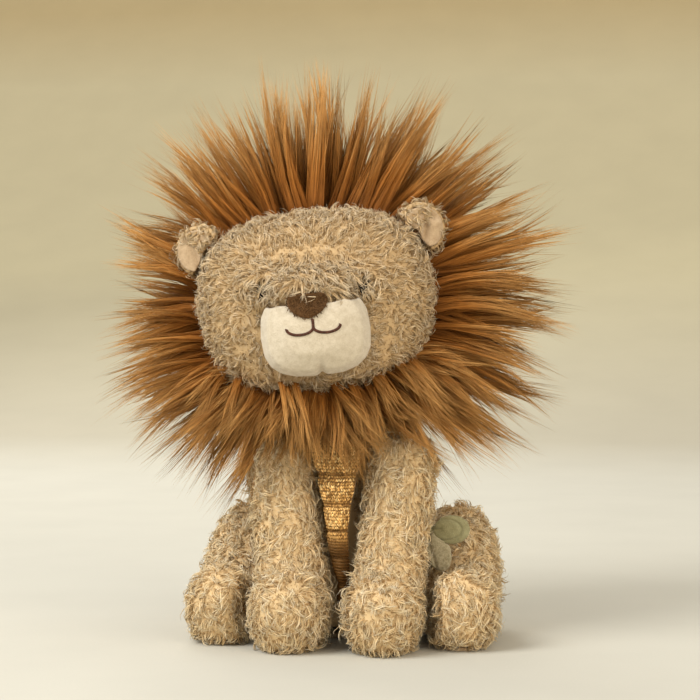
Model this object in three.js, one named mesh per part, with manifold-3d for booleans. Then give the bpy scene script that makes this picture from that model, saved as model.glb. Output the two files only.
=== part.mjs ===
// A sitting plush lion in curly pile fabric with a long-pile mane, in millimetres.
// It faces -Y with +Z up, and its origin is the middle of the seat panel's underside.
// Each stuffed form is one closed solid that stands for the sewn skin and the fibre fill in it.
// The mane is the piece that takes the most skill: pointed locks set in rings round the head.

import * as THREE from "three";
import { mergeVertices } from "three/addons/utils/BufferGeometryUtils.js";
import Module from "manifold-3d";

const wasm = await Module();
wasm.setup();

// Fineness of the facets
const bodySides = 20;
const limbSides = 16;
const smallSides = 12;
const threadSides = 5;
const domeRings = 3;
const legFacets = { roundSides: 16, domeSteps: 5 };
const seatFacets = { roundSides: 24, domeSteps: 8 };
const coarseSides = 10;
const ringsPerSpan = 2;

// Sewing allowances
const seamGap = 0.3;
const swingGap = 1.2;
const neckGap = 0.5;
const shoulderGap = 0.9;
const swingMargin = 2.7;
const pawGap = 1.8;
const overrun = 30;

// Torso: a pear that leans a little to one side, with a ball at the neck
const torsoWidth = 84;
const torsoDepth = 74;
const torsoHeight = 102;
const torsoBaseDome = 20;
const torsoTopDome = 16;
const neckRadius = 24;
const neckSink = 3;
const neckLean = 10;
const neckForward = 6;
const torsoShares = [
  { height: 0.14, width: 0.9, depth: 0.9 },
  { height: 0.36, width: 1, depth: 1 },
  { height: 0.62, width: 1.02, depth: 0.9 },
  { height: 0.84, width: 0.86, depth: 0.74 },
];

// Seat: a flat panel that closes the pocket of the pellet bag
const seatWidth = 50;
const seatDepth = 44;
const seatThickness = 2.5;
const seatRise = 0.5;
const pocketMargin = 4;
const pocketHeight = 22;

// Belly panel: knitted cloth gathered into rolls
const bellyWidth = 42;
const bellyTop = 92;
const bellyBottom = 14;
const bellyThickness = 2.6;
const bellyRoll = 12;
const bellyTuck = 1.5;
const bellyCorner = 12;

// Head: a wide soft block with a snout bridge, in its own tilted frame
const headWidth = 108;
const headHeight = 82;
const headBack = 18;
const headFront = 16;
const headBackDome = 22;
const headFrontDome = 24;
const headSquareness = 2.6;
const neckSeat = 14;
const headOffset = 1;
const headTilt = THREE.MathUtils.degToRad(-6);
const headYaw = THREE.MathUtils.degToRad(7.5);
const headShares = [
  { reach: 1, width: 0.92, height: 0.92 },
  { reach: 0, width: 1, height: 1 },
  { reach: -1, width: 0.97, height: 0.97 },
];
const bridgeWidth = 40;
const bridgeHeight = 25;
const bridgeReach = 46;
const bridgeDome = 9;
const bridgeRise = 3;

// Muzzle: a smooth rounded box below the bridge
const muzzleWidth = 46.5;
const muzzleHeight = 36.5;
const muzzleReach = 45;
const muzzleDome = 14;
const muzzleDrop = 14.3;
const muzzleSquareness = 2.9;

// Nose: a soft three-cornered pad
const noseWidth = 19.5;
const noseHeight = 12;
const noseThickness = 3;
const noseDrop = 3.4;
const noseProud = 1.8;

// Mouth: one stitched line, a stem and two smiling arcs
const threadRadius = 0.7;
const mouthStem = 3;
const mouthArc = 5.6;

// Eyes: a bead with a shank and a washer that locks it inside the head
const eyeRadius = 3.6;
const eyeDome = 2.6;
const eyeSpread = 21.5;
const eyeRise = 3.8;
const eyeSkew = 1.5;
const eyeDepth = 35;
const socketRadius = 8;
const shankRadius = 1.5;
const shankLength = 8;
const washerRadius = 5;
const washerThickness = 1.4;

// Ears: cupped discs with a smooth lining
const earWidth = 26;
const earHeight = 25;
const earThickness = 11;
const earSpreadShare = 0.91;
const earRiseShare = 0.65;
const earDepth = 5;
const earTurn = THREE.MathUtils.degToRad(24);
const earLean = THREE.MathUtils.degToRad(32);
const cupMargin = 3;
const liningThickness = 1.6;

// Mane: a padded band round the head that carries crowns of pointed locks
const maneReach = 100;
const maneRiseShare = 0.05;
const maneShift = 5.5;
const maneTilt = THREE.MathUtils.degToRad(14);
const maneBand = 10;
const maneFront = -2;
const manePart = 22;
const manePartSlope = THREE.MathUtils.degToRad(42);
const lockThickness = 11;
const lockShares = { root: 0.3, valley: 0.72, ridge: 0.77, thin: 0.6 };
const lockSwayShare = 0.3;
const lockReachShare = 0.05;
const lockStray = 3;
const chinShares = { from: 0.5, to: 0.95 };
const underShares = { from: 0.84, to: 0.97, reach: 0.72 };
const chinForward = 15;
const ruffCrowns = [
  { count: 24, lean: -6, reachShare: 0.97, rootShare: 0.06, phase: 0, chin: false },
  { count: 22, lean: 7, reachShare: 1, rootShare: 0.11, phase: 0.5, chin: false },
  { count: 20, lean: 22, reachShare: 0.96, rootShare: 0.17, phase: 0.2, chin: false },
  { count: 22, lean: -14, reachShare: 0.78, rootShare: 0.05, phase: 0.5, chin: true },
];
const napeCrowns = [
  { count: 18, lean: 31, reachShare: 0.92, rootShare: 0.19, phase: 0.2, chin: false },
  { count: 16, lean: 42, reachShare: 0.87, rootShare: 0.22, phase: 0.5, chin: false },
  { count: 12, lean: 57, reachShare: 0.74, rootShare: 0.26, phase: 0.1, chin: false },
  { count: 7, lean: 75, reachShare: 0.65, rootShare: 0.3, phase: 0.3, chin: false },
];

// Front legs: tubes that swell at the shoulder and the paw
const shoulderSpread = 27;
const shoulderOffset = -1.8;
const shoulderHeight = 78;
const shoulderForward = 24;
const frontLegWidth = 36;
const frontLegShares = [
  { drop: 0, width: 1, forward: 0, inward: 0 },
  { drop: 0.42, width: 0.98, forward: 0.34, inward: 0.62 },
  { drop: 0.74, width: 1.02, forward: 0.64, inward: 0.98 },
];
const pawSpread = 20.6;
const pawWidth = 39.6;
const pawLength = 50;
const pawHeight = 41;
const pawForward = 49;
const pressedFlat = 3.5;

// Hind legs: a haunch that rounds off about the hip, an instep and a foot
const hipSpread = 48;
const hipOffset = -2.5;
const hipBack = 16;
const haunchWidth = 43;
const haunchHeight = 64;
const footSpread = 52;
const footForward = 37;
const footWidth = 38;
const footHeight = 41;
const footDome = 18;
const hindLegShares = [
  { reach: 0, width: 1, height: 1 },
  { reach: 0.3, width: 0.98, height: 0.86 },
  { reach: 0.74, width: 0.88, height: 0.5 },
];

// Soles: flat oval panels let into the paws
const soleThickness = 1.6;
const soleSink = 0.5;
const frontSoleWidth = 20;
const frontSoleLength = 26;
const hindSoleWidth = 20;
const hindSoleLength = 24;
const hindSoleBack = 4;

// Tail: a slim tube that curls round behind the haunch, with a tuft of mane pile
const tailRadius = 6.2;
const tailRootHeight = 15;
const tailLength = 50;
const tailSideShares = [0, 0.05, 0.3, 0.68, 1];
const tailBackShares = [0, 0.28, 0.5, 0.58, 0.6];
const tuftLength = 28;
const tuftWidth = 22;
const tuftLocks = 6;
const tuftPointShare = 0.45;
const tuftShares = [
  { along: -0.12, out: 0.6, width: 0.7 },
  { along: 0.2, out: 1, width: 1 },
  { along: 0.6, out: 1.1, width: 0.6 },
];

// Side leaves: two small padded tabs sewn into the side seam
const leafRootX = 38;
const leafRootY = -18.5;
const leafRootZ = 48.5;
const leafThickness = 3;
const leafStem = 5;
const sideLeaves = [
  { name: "side_leaf_upper", length: 17, width: 13.6, turn: 4, forward: -2, inward: 0, drop: 0 },
  { name: "side_leaf_lower", length: 19, width: 11.6, turn: -74, forward: -2.2, inward: 1, drop: 6.5 },
];

// How far the head and the legs swing, in degrees, and the steps that their room is cut at
const headSwing = 12;
const frontLegSwing = 15;
const swingSteps = 2;
const swingRoomShares = [0, 0.7];

// Steps of the repeatable unevenness
const unevenStepShares = [12.9898, 78.233];

const curlyPile = { color: 0xc9a878, roughness: 0.95, metalness: 0 };
const manePile = { color: 0x8c5526, roughness: 0.7, metalness: 0 };
const creamVelour = { color: 0xeee3cb, roughness: 0.9, metalness: 0 };
const tanVelour = { color: 0xc0a076, roughness: 0.9, metalness: 0 };
const goldKnit = { color: 0xc59a55, roughness: 0.9, metalness: 0 };
const noseVelvet = { color: 0x6b4a31, roughness: 0.85, metalness: 0 };
const darkThread = { color: 0x3a1d12, roughness: 0.8, metalness: 0 };
const eyePlastic = { color: 0x1c120d, roughness: 0.2, metalness: 0 };
const washerPlastic = { color: 0xd8d8d2, roughness: 0.5, metalness: 0 };
const sageCotton = { color: 0x9aa585, roughness: 0.9, metalness: 0 };
const calico = { color: 0xd9cfb8, roughness: 0.9, metalness: 0 };

const half = (size) => size / 2;
const sides = { left: 1, right: -1 };
const xAxis = new THREE.Vector3(1, 0, 0);
const yAxis = new THREE.Vector3(0, 1, 0);
const zAxis = new THREE.Vector3(0, 0, 1);

// A solid whose faces point out, whichever way its geometry winds.
function outward(geometry) {
  const made = solidOf(geometry);
  if (made.volume() > 0) return made;
  const index = Array.from(geometry.index.array);
  const turned = geometry.clone();
  turned.setIndex(index.reverse());
  return solidOf(turned);
}

// A closed three.js geometry as a solid, moved by a matrix if one is given.
function solidOf(geometry, matrix = new THREE.Matrix4()) {
  const bare = geometry.clone();
  bare.deleteAttribute("normal");
  bare.deleteAttribute("uv");
  const merged = mergeVertices(bare.applyMatrix4(matrix));
  const made = new wasm.Manifold(
    new wasm.Mesh({
      numProp: 3,
      vertProperties: merged.attributes.position.array,
      triVerts: new Uint32Array(merged.index.array),
    }),
  );
  return made;
}

// The largest body of a solid: what a cut leaves loose beside it falls away.
function largest(solid) {
  const bodies = solid.decompose();
  return bodies.reduce((a, b) => (b.volume() > a.volume() ? b : a));
}

// A stuffed form: oval sections strung on a smooth line, closed by a dome at each end.
// A section lies square to `facing`, or to the line where no facing is given.
function stuffed(stations, options) {
  const { facing, up = zAxis, domes, squareness = 2, roundSides = limbSides, grow = 0 } = options;
  const { perSpan = ringsPerSpan, domeSteps = domeRings } = options;
  const line = new THREE.CatmullRomCurve3(stations.map((s) => s.at));
  const sizes = new THREE.CatmullRomCurve3(
    stations.map((s) => new THREE.Vector3(s.across, s.tall, 0)),
  );
  const rings = [];
  const ring = (t, along, shrink) => {
    const normal = facing ? facing.clone() : line.getTangent(t);
    const side = new THREE.Vector3().crossVectors(up, normal).normalize();
    const rise = new THREE.Vector3().crossVectors(normal, side).normalize();
    const size = sizes.getPoint(t);
    const centre = line.getPoint(t).addScaledVector(normal, along);
    rings.push({ centre, side, rise, across: (size.x + grow) * shrink, tall: (size.y + grow) * shrink });
  };
  const spans = (stations.length - 1) * perSpan;
  for (let i = domeSteps - 1; i > 0; i--) {
    const turn = (i / domeSteps) * half(Math.PI);
    ring(0, -Math.sin(turn) * (domes[0] + grow), Math.cos(turn));
  }
  for (let i = 0; i <= spans; i++) ring(i / spans, 0, 1);
  for (let i = 1; i < domeSteps; i++) {
    const turn = (i / domeSteps) * half(Math.PI);
    ring(1, Math.sin(turn) * (domes[1] + grow), Math.cos(turn));
  }
  const points = [];
  for (const r of rings) {
    for (let j = 0; j < roundSides; j++) {
      const angle = (j / roundSides) * 2 * Math.PI;
      const bend = (v) => Math.sign(v) * Math.abs(v) ** (2 / squareness);
      const point = r.centre.clone();
      point.addScaledVector(r.side, r.across * bend(Math.cos(angle)));
      point.addScaledVector(r.rise, r.tall * bend(Math.sin(angle)));
      points.push(point);
    }
  }
  const poleAt = (t, along) =>
    line.getPoint(t).addScaledVector(facing ? facing : line.getTangent(t), along);
  points.push(poleAt(0, -(domes[0] + grow)), poleAt(1, domes[1] + grow));
  const faces = [];
  const last = rings.length - 1;
  for (let j = 0; j < roundSides; j++) {
    const k = (j + 1) % roundSides;
    faces.push(points.length - 2, k, j);
    faces.push(points.length - 1, last * roundSides + j, last * roundSides + k);
    for (let i = 0; i < last; i++) {
      const [a, b] = [i * roundSides + j, i * roundSides + k];
      const [c, d] = [a + roundSides, b + roundSides];
      faces.push(a, b, d, a, d, c);
    }
  }
  const geometry = new THREE.BufferGeometry().setFromPoints(points);
  geometry.setIndex(faces);
  return solidOf(geometry);
}

// An oval ball, turned by a quaternion where one is given.
function ball(centre, radii, turn = new THREE.Quaternion(), roundSides = limbSides) {
  const geometry = new THREE.SphereGeometry(1, roundSides, Math.round(half(roundSides)) + 1);
  return solidOf(geometry, new THREE.Matrix4().compose(centre, turn, radii));
}

// A straight oval prism along `axis`, from `centre` outwards by `length`.
function ovalPrism(centre, axis, across, tall, length, roundSides = smallSides) {
  const outline = new THREE.Shape();
  outline.absellipse(0, 0, across, tall, 0, 2 * Math.PI, false);
  const geometry = new THREE.ExtrudeGeometry(outline, {
    depth: length,
    bevelEnabled: false,
    curveSegments: half(roundSides),
  });
  const turn = new THREE.Quaternion().setFromUnitVectors(zAxis, axis);
  return solidOf(geometry, new THREE.Matrix4().compose(centre, turn, new THREE.Vector3(1, 1, 1)));
}

// A box between two corners.
function block(low, high) {
  const size = new THREE.Vector3().subVectors(high, low);
  const middle = new THREE.Vector3().addVectors(low, high).multiplyScalar(half(1));
  const geometry = new THREE.BoxGeometry(size.x, size.y, size.z);
  return solidOf(geometry, new THREE.Matrix4().makeTranslation(middle.x, middle.y, middle.z));
}

// Everything of a solid that lies above a level.
function above(solid, level) {
  const reach = maneReach + torsoHeight + overrun;
  const low = new THREE.Vector3(-reach, -reach, -reach);
  return solid.subtract(block(low, new THREE.Vector3(reach, reach, level)));
}

// The toy and the frames that its limbs swing in
const lion = new THREE.Group();
const neckCentre = new THREE.Vector3(-neckLean, -neckForward, torsoHeight - neckSink);
const headFrame = new THREE.Group();
headFrame.rotation.set(0, headTilt, headYaw, "ZYX");
const headUp = zAxis.clone().applyEuler(headFrame.rotation);
headFrame.position.copy(neckCentre);
headFrame.position.addScaledVector(headUp, half(headHeight) + neckRadius - neckSeat);
headFrame.position.add(new THREE.Vector3(headOffset, -half(headBack), 0));
lion.add(headFrame);
const maneFrame = new THREE.Group();
maneFrame.position.x = maneShift;
maneFrame.rotation.x = -maneTilt;
headFrame.add(maneFrame);

function limbFrame(x, y, z) {
  const frame = new THREE.Group();
  frame.position.set(x, y, z);
  lion.add(frame);
  return frame;
}
const shoulders = {};
const hips = {};
for (const [name, side] of Object.entries(sides)) {
  shoulders[name] = limbFrame(side * shoulderSpread + shoulderOffset, -shoulderForward, shoulderHeight);
  hips[name] = limbFrame(side * hipSpread + hipOffset, hipBack, half(haunchHeight) - pressedFlat);
}
const tailRoot = limbFrame(0, half(torsoDepth), tailRootHeight);
lion.updateMatrixWorld(true);

// A solid taken from one frame into another.
function carried(solid, from, to) {
  const matrix = to.matrixWorld.clone().invert().multiply(from.matrixWorld);
  return solid.transform(matrix.elements);
}

// The room that a limb needs, in the toy's frame, while it swings about an axis of its own frame.
function swept(solid, frame, axis, degrees) {
  let room;
  for (let i = 0; i <= swingSteps; i++) {
    const angle = THREE.MathUtils.degToRad((degrees * i) / swingSteps);
    const turned = solid.transform(new THREE.Matrix4().makeRotationAxis(axis, angle).elements);
    const placed = carried(turned, frame, lion);
    room = room ? room.add(placed) : placed;
  }
  return room;
}

// A solid of the whole toy, turned about the neck's upright axis.
function turnedAtNeck(solid, degrees) {
  const turn = new THREE.Matrix4().makeRotationZ(THREE.MathUtils.degToRad(degrees));
  const matrix = new THREE.Matrix4()
    .makeTranslation(neckCentre.x, neckCentre.y, neckCentre.z)
    .multiply(turn)
    .multiply(new THREE.Matrix4().makeTranslation(-neckCentre.x, -neckCentre.y, -neckCentre.z));
  return solid.transform(matrix.elements);
}

function addPiece(name, solid, finish, frame = lion) {
  const made = largest(solid).getMesh();
  const geometry = new THREE.BufferGeometry();
  const places = new Float32Array(made.vertProperties);
  geometry.setAttribute("position", new THREE.BufferAttribute(places, made.numProp));
  geometry.setIndex(new THREE.BufferAttribute(new Uint32Array(made.triVerts), 1));
  geometry.computeVertexNormals();
  const mesh = new THREE.Mesh(geometry, new THREE.MeshStandardMaterial(finish));
  mesh.name = name;
  frame.add(mesh);
}

// The pear of the torso and the ball that the head is sewn round
function torsoForm(grow = 0) {
  const stations = torsoShares.map(({ height, width, depth }) => ({
    at: new THREE.Vector3(-neckLean * height ** 2, -neckForward * height, torsoHeight * height),
    across: half(torsoWidth) * width,
    tall: half(torsoDepth) * depth,
  }));
  return stuffed(stations, {
    facing: zAxis,
    up: yAxis,
    domes: [torsoBaseDome, torsoTopDome],
    roundSides: bodySides,
    grow,
  });
}

function neckBall(grow = 0) {
  const radius = neckRadius + grow;
  const upright = new THREE.Quaternion().setFromUnitVectors(yAxis, zAxis);
  return ball(neckCentre, new THREE.Vector3(radius, radius, radius), upright, bodySides);
}

// A front leg in its shoulder's frame: a round shoulder, a tube and a paw
function frontLegForm(side, grow = 0, facets = legFacets) {
  const inward = shoulderSpread + side * shoulderOffset - pawSpread;
  const forward = pawForward - shoulderForward;
  const radius = half(frontLegWidth);
  const stations = frontLegShares.map((s) => ({
    at: new THREE.Vector3(-side * inward * s.inward, -forward * s.forward, -shoulderHeight * s.drop),
    across: radius * s.width,
    tall: radius * s.width,
  }));
  const down = zAxis.clone().negate();
  const leg = stuffed(stations, {
    facing: down,
    up: yAxis,
    domes: [radius, half(radius)],
    ...facets,
    grow,
  });
  const pawCentre = new THREE.Vector3(
    -side * inward,
    -forward,
    half(pawHeight) - pressedFlat - shoulderHeight,
  );
  const pawRadii = new THREE.Vector3(half(pawWidth), half(pawLength), half(pawHeight));
  const paw = ball(pawCentre, pawRadii.addScalar(grow), undefined, limbSides);
  return leg.add(paw);
}

// A hind leg in its hip's frame: round about the hip's upright axis, then along to the foot
function hindLegForm(side, grow = 0, facets = legFacets) {
  const hipLevel = half(haunchHeight) - pressedFlat;
  const footLevel = half(footHeight) - pressedFlat;
  const outward = footSpread - hipSpread - side * hipOffset;
  const reach = hipBack + footForward;
  const stations = hindLegShares.map((s) => ({
    at: new THREE.Vector3(
      side * outward * s.reach,
      -reach * s.reach,
      half(haunchHeight) * s.height - pressedFlat - hipLevel,
    ),
    across: half(haunchWidth) * s.width,
    tall: half(haunchHeight) * s.height,
  }));
  stations.push({
    at: new THREE.Vector3(side * outward, -reach, footLevel - hipLevel),
    across: half(footWidth),
    tall: half(footHeight),
  });
  const ahead = yAxis.clone().negate();
  return stuffed(stations, {
    facing: ahead,
    domes: [half(haunchWidth), footDome],
    ...facets,
    grow,
  });
}

// The tail's line runs back from the root, then round behind the haunch
const tailLevel = tailRadius + seamGap + soleSink;
function tailPoint(index) {
  const drop = index === 0 ? 0 : tailLevel - tailRootHeight;
  return new THREE.Vector3(-tailLength * tailSideShares[index], tailLength * tailBackShares[index], drop);
}
const tailLine = tailSideShares.map((_, index) => tailPoint(index));

function tailForm(grow = 0) {
  const stations = tailLine.map((at) => ({ at, across: tailRadius, tall: tailRadius }));
  return stuffed(stations, { domes: [tailRadius, tailRadius], roundSides: smallSides, grow });
}

// The head's block in its own frame, for the head and for all that follows its outline
function skullForm(grow = 0) {
  const stations = headShares.map(({ reach, width, height }) => ({
    at: new THREE.Vector3(0, reach > 0 ? headBack * reach : headFront * reach, 0),
    across: half(headWidth) * width,
    tall: half(headHeight) * height,
  }));
  const ahead = yAxis.clone().negate();
  return stuffed(stations, {
    facing: ahead,
    domes: [headBackDome, headFrontDome],
    squareness: headSquareness,
    roundSides: bodySides,
    grow,
  });
}

// A short form that stands out of the face, such as the bridge or the muzzle
function snoutForm(width, height, reach, dome, level, squareness, grow = 0) {
  const size = { across: half(width), tall: half(height) };
  const stations = [
    { at: new THREE.Vector3(0, -half(reach), level), ...size },
    { at: new THREE.Vector3(0, -reach, level), ...size },
  ];
  const ahead = yAxis.clone().negate();
  return stuffed(stations, { facing: ahead, domes: [dome, dome], squareness, roundSides: bodySides, grow });
}

const bridgeForm = (grow) =>
  snoutForm(bridgeWidth, bridgeHeight, bridgeReach, bridgeDome, bridgeRise, 2, grow);
const muzzleForm = (grow) =>
  snoutForm(muzzleWidth, muzzleHeight, muzzleReach, muzzleDome, -muzzleDrop, muzzleSquareness, grow);
const faceForm = (grow) => skullForm(grow).add(bridgeForm(grow));

// How far forward the muzzle's surface stands at a place on the face
function muzzleFront(x, z) {
  const u = Math.abs(x / half(muzzleWidth)) ** muzzleSquareness;
  const v = Math.abs((z + muzzleDrop) / half(muzzleHeight)) ** muzzleSquareness;
  const out = Math.min((u + v) ** (1 / muzzleSquareness), 1);
  return -muzzleReach - muzzleDome * Math.sqrt(1 - out ** 2);
}

// Front legs and their soles. A leg's room is its form at rest, and a plainer tube while it swings.
const legRoom = {};
const swingRoom = {};
for (const [name, side] of Object.entries(sides)) {
  const frame = shoulders[name];
  legRoom[name] = carried(frontLegForm(side, swingGap), frame, lion);
  const inward = shoulderSpread + side * shoulderOffset - pawSpread;
  const reach = new THREE.Vector3(-side * inward, shoulderForward - pawForward, -shoulderHeight);
  swingRoom[name] = (room) => {
    const radius = half(frontLegWidth) + room;
    const stations = swingRoomShares.map((share) => ({
      at: reach.clone().multiplyScalar(share),
      across: radius,
      tall: radius,
    }));
    const shape = { domes: [radius, radius], up: yAxis, roundSides: coarseSides, perSpan: 1 };
    return swept(stuffed(stations, shape), frame, xAxis.clone().negate(), frontLegSwing);
  };
}
function sole(x, y, width, length, grow) {
  const low = new THREE.Vector3(x, y, -grow);
  return ovalPrism(low, zAxis, half(width) + grow, half(length) + grow, soleThickness + 2 * grow);
}
for (const [name, side] of Object.entries(sides)) {
  const frame = shoulders[name];
  const soleX = side * pawSpread;
  const cut = sole(soleX, -pawForward, frontSoleWidth, frontSoleLength, seamGap);
  const leg = above(carried(frontLegForm(side), frame, lion), soleSink).subtract(cut);
  addPiece(`front_leg_${name}`, carried(leg, lion, frame), curlyPile, frame);
  const panel = sole(soleX, -pawForward, frontSoleWidth, frontSoleLength, 0);
  addPiece(`front_sole_${name}`, carried(panel, lion, frame), tanVelour, frame);
}

// Hind legs, cut where a front paw lies against them, and their soles
const hindRoom = {};
for (const [name, side] of Object.entries(sides)) {
  const frame = hips[name];
  const soleX = side * footSpread;
  hindRoom[name] = carried(hindLegForm(side, swingGap), frame, lion);
  const cut = sole(soleX, hindSoleBack - footForward, hindSoleWidth, hindSoleLength, seamGap);
  const leg = above(carried(hindLegForm(side), frame, lion), soleSink)
    .subtract(cut)
    .subtract(carried(frontLegForm(side, pawGap), shoulders[name], lion));
  addPiece(`hind_leg_${name}`, carried(leg, lion, frame), curlyPile, frame);
  const panel = sole(soleX, hindSoleBack - footForward, hindSoleWidth, hindSoleLength, 0);
  addPiece(`hind_sole_${name}`, carried(panel, lion, frame), tanVelour, frame);
}

// Tail and tuft
const tailRoom = carried(tailForm(seamGap), tailRoot, lion);
addPiece("tail", tailForm(), curlyPile, tailRoot);

// Torso with its seats for the limbs, and the pocket over the seat panel
const pocketWidth = seatWidth - 2 * pocketMargin;
const pocketDepth = seatDepth - 2 * pocketMargin;
const seatPanel = ovalPrism(new THREE.Vector3(), zAxis, half(seatWidth), half(seatDepth), seatThickness);
const seatRecess = ovalPrism(
  new THREE.Vector3(0, 0, -overrun),
  zAxis,
  half(seatWidth) + seamGap,
  half(seatDepth) + seamGap,
  seatThickness + seamGap + overrun,
);
const pocketFloor = new THREE.Vector3(0, 0, seatThickness);
const pocket = ovalPrism(
  pocketFloor,
  zAxis,
  half(pocketWidth),
  half(pocketDepth),
  pocketHeight,
  limbSides,
);
const bagHeight = half(pocketHeight) - seamGap;
const bagDome = half(bagHeight) - seamGap;
const bagSize = { across: half(pocketWidth) - seamGap, tall: half(pocketDepth) - seamGap };
const bag = stuffed(
  [
    { at: new THREE.Vector3(0, 0, seatThickness + half(bagHeight)), ...bagSize },
    { at: new THREE.Vector3(0, 0, seatThickness + bagHeight + half(bagHeight)), ...bagSize },
  ],
  { facing: zAxis, up: yAxis, domes: [bagDome, bagDome] },
);
let torso = above(torsoForm().add(neckBall()), seatRise).subtract(seatRecess).subtract(pocket);
for (const name of Object.keys(sides)) {
  const shoulderSeat = frontLegForm(sides[name], shoulderGap, seatFacets);
  const hipSeat = hindLegForm(sides[name], swingGap, seatFacets);
  torso = torso.subtract(carried(shoulderSeat, shoulders[name], lion));
  torso = torso.subtract(swingRoom[name](swingMargin));
  torso = torso.subtract(carried(hipSeat, hips[name], lion));
}
const tailSeat = ball(
  tailRoot.position,
  new THREE.Vector3(1, 1, 1).multiplyScalar(tailRadius + swingGap),
  undefined,
  smallSides,
);
torso = torso.subtract(tailRoom).subtract(tailSeat);
addPiece("torso", torso, curlyPile);
addPiece("seat_panel", seatPanel, tanVelour);
addPiece("pellet_bag", bag, calico);

// Belly panel: the torso's own surface, raised in rolls inside a round-cornered outline
const bellyOutline = new THREE.Shape();
const bellyHalf = half(bellyWidth);
bellyOutline.moveTo(-bellyHalf, bellyBottom + bellyCorner);
bellyOutline.lineTo(-bellyHalf, bellyTop);
bellyOutline.lineTo(bellyHalf, bellyTop);
bellyOutline.lineTo(bellyHalf, bellyBottom + bellyCorner);
bellyOutline.quadraticCurveTo(bellyHalf, bellyBottom, bellyHalf - bellyCorner, bellyBottom);
bellyOutline.lineTo(bellyCorner - bellyHalf, bellyBottom);
bellyOutline.quadraticCurveTo(-bellyHalf, bellyBottom, -bellyHalf, bellyBottom + bellyCorner);
const bellyWindow = solidOf(
  new THREE.ExtrudeGeometry(bellyOutline, { depth: torsoDepth, bevelEnabled: false }),
  new THREE.Matrix4().makeRotationX(half(Math.PI)),
);
let belly = torsoForm(bellyThickness).intersect(bellyWindow);
belly = belly.subtract(torsoForm(seamGap)).subtract(neckBall(seamGap));
for (let level = bellyBottom + bellyRoll; level < bellyTop; level += bellyRoll) {
  const depthHere = torsoForm(bellyThickness - bellyTuck);
  const tuck = block(
    new THREE.Vector3(-torsoWidth, -torsoDepth, level - half(bellyTuck)),
    new THREE.Vector3(torsoWidth, torsoDepth, level + half(bellyTuck)),
  ).subtract(depthHere);
  belly = belly.subtract(tuck);
}
for (const name of Object.keys(sides)) {
  belly = belly.subtract(legRoom[name]).subtract(swingRoom[name](swingMargin));
}
addPiece("belly_panel", belly, goldKnit);

// Head, with sockets and holes for the eyes and a seat for the neck ball
const inHead = (solid) => carried(solid, lion, headFrame);
const eyeCentre = (side) => new THREE.Vector3(side * eyeSpread, -eyeDepth, eyeRise - side * eyeSkew);
let head = faceForm().subtract(inHead(neckBall(neckGap)));
const washerBack = new THREE.Vector3(0, shankLength - 2 * washerThickness, 0);
const washerPlace = (side) => eyeCentre(side).add(washerBack);
for (const [name, side] of Object.entries(sides)) {
  const socket = ball(
    eyeCentre(side).add(new THREE.Vector3(0, -socketRadius, 0)),
    new THREE.Vector3(socketRadius, socketRadius, socketRadius),
    undefined,
    smallSides,
  );
  const seat = ovalPrism(
    eyeCentre(side).add(new THREE.Vector3(0, -eyeDome, 0)),
    yAxis,
    eyeRadius + seamGap,
    eyeRadius + seamGap,
    eyeDome,
  );
  const bore = ovalPrism(
    eyeCentre(side).add(new THREE.Vector3(0, -eyeDome, 0)),
    yAxis,
    shankRadius + seamGap,
    shankRadius + seamGap,
    eyeDome + shankLength + seamGap,
  );
  const chamber = ovalPrism(
    washerPlace(side).add(new THREE.Vector3(0, -seamGap, 0)),
    yAxis,
    washerRadius + seamGap,
    washerRadius + seamGap,
    washerThickness + 2 * seamGap,
  );
  head = head.subtract(socket).subtract(seat).subtract(bore).subtract(chamber);
  const bead = ball(
    eyeCentre(side).add(new THREE.Vector3(0, -seamGap, 0)),
    new THREE.Vector3(eyeRadius, eyeDome, eyeRadius),
    undefined,
    smallSides,
  );
  const front = block(
    eyeCentre(side).add(new THREE.Vector3(-eyeRadius, -2 * eyeDome, -eyeRadius).multiplyScalar(2)),
    eyeCentre(side).add(new THREE.Vector3(2 * eyeRadius, -seamGap, 2 * eyeRadius)),
  );
  const shank = ovalPrism(
    eyeCentre(side).add(new THREE.Vector3(0, -2 * seamGap, 0)),
    yAxis,
    shankRadius,
    shankRadius,
    shankLength,
  );
  const eye = bead.intersect(front).add(shank);
  const washer = ovalPrism(washerPlace(side), yAxis, washerRadius, washerRadius, washerThickness);
  addPiece(`eye_${name}`, eye, eyePlastic, headFrame);
  addPiece(`eye_washer_${name}`, washer.subtract(bore), washerPlastic, headFrame);
}
addPiece("head", head, curlyPile, headFrame);

// Muzzle, nose and stitched mouth
addPiece("muzzle", muzzleForm().subtract(faceForm(seamGap)), creamVelour, headFrame);
const noseOutline = new THREE.Shape();
const noseSide = half(noseWidth);
const noseTop = half(noseHeight);
noseOutline.moveTo(0, -noseTop);
noseOutline.bezierCurveTo(noseSide, -noseThickness, noseSide, noseTop, half(noseSide), noseTop);
noseOutline.lineTo(-half(noseSide), noseTop);
noseOutline.bezierCurveTo(-noseSide, noseTop, -noseSide, -noseThickness, 0, -noseTop);
const noseDepth = noseThickness + muzzleDome;
const noseSetting = { depth: noseDepth, bevelEnabled: false, curveSegments: smallSides };
const noseBack = muzzleFront(0, -noseDrop) + muzzleDome;
const noseSolid = solidOf(
  new THREE.ExtrudeGeometry(noseOutline, noseSetting),
  new THREE.Matrix4().makeRotationX(half(Math.PI)).setPosition(0, noseBack, -noseDrop),
);
const noseShell = muzzleForm(noseProud).add(bridgeForm(noseProud));
addPiece(
  "nose",
  noseSolid.intersect(noseShell).subtract(faceForm(seamGap)).subtract(muzzleForm(seamGap)),
  noseVelvet,
  headFrame,
);
const mouthTop = -noseDrop - half(noseHeight) - seamGap - 2 * threadRadius;
const mouthLines = [(t) => [0, mouthTop - mouthStem * t]];
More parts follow.
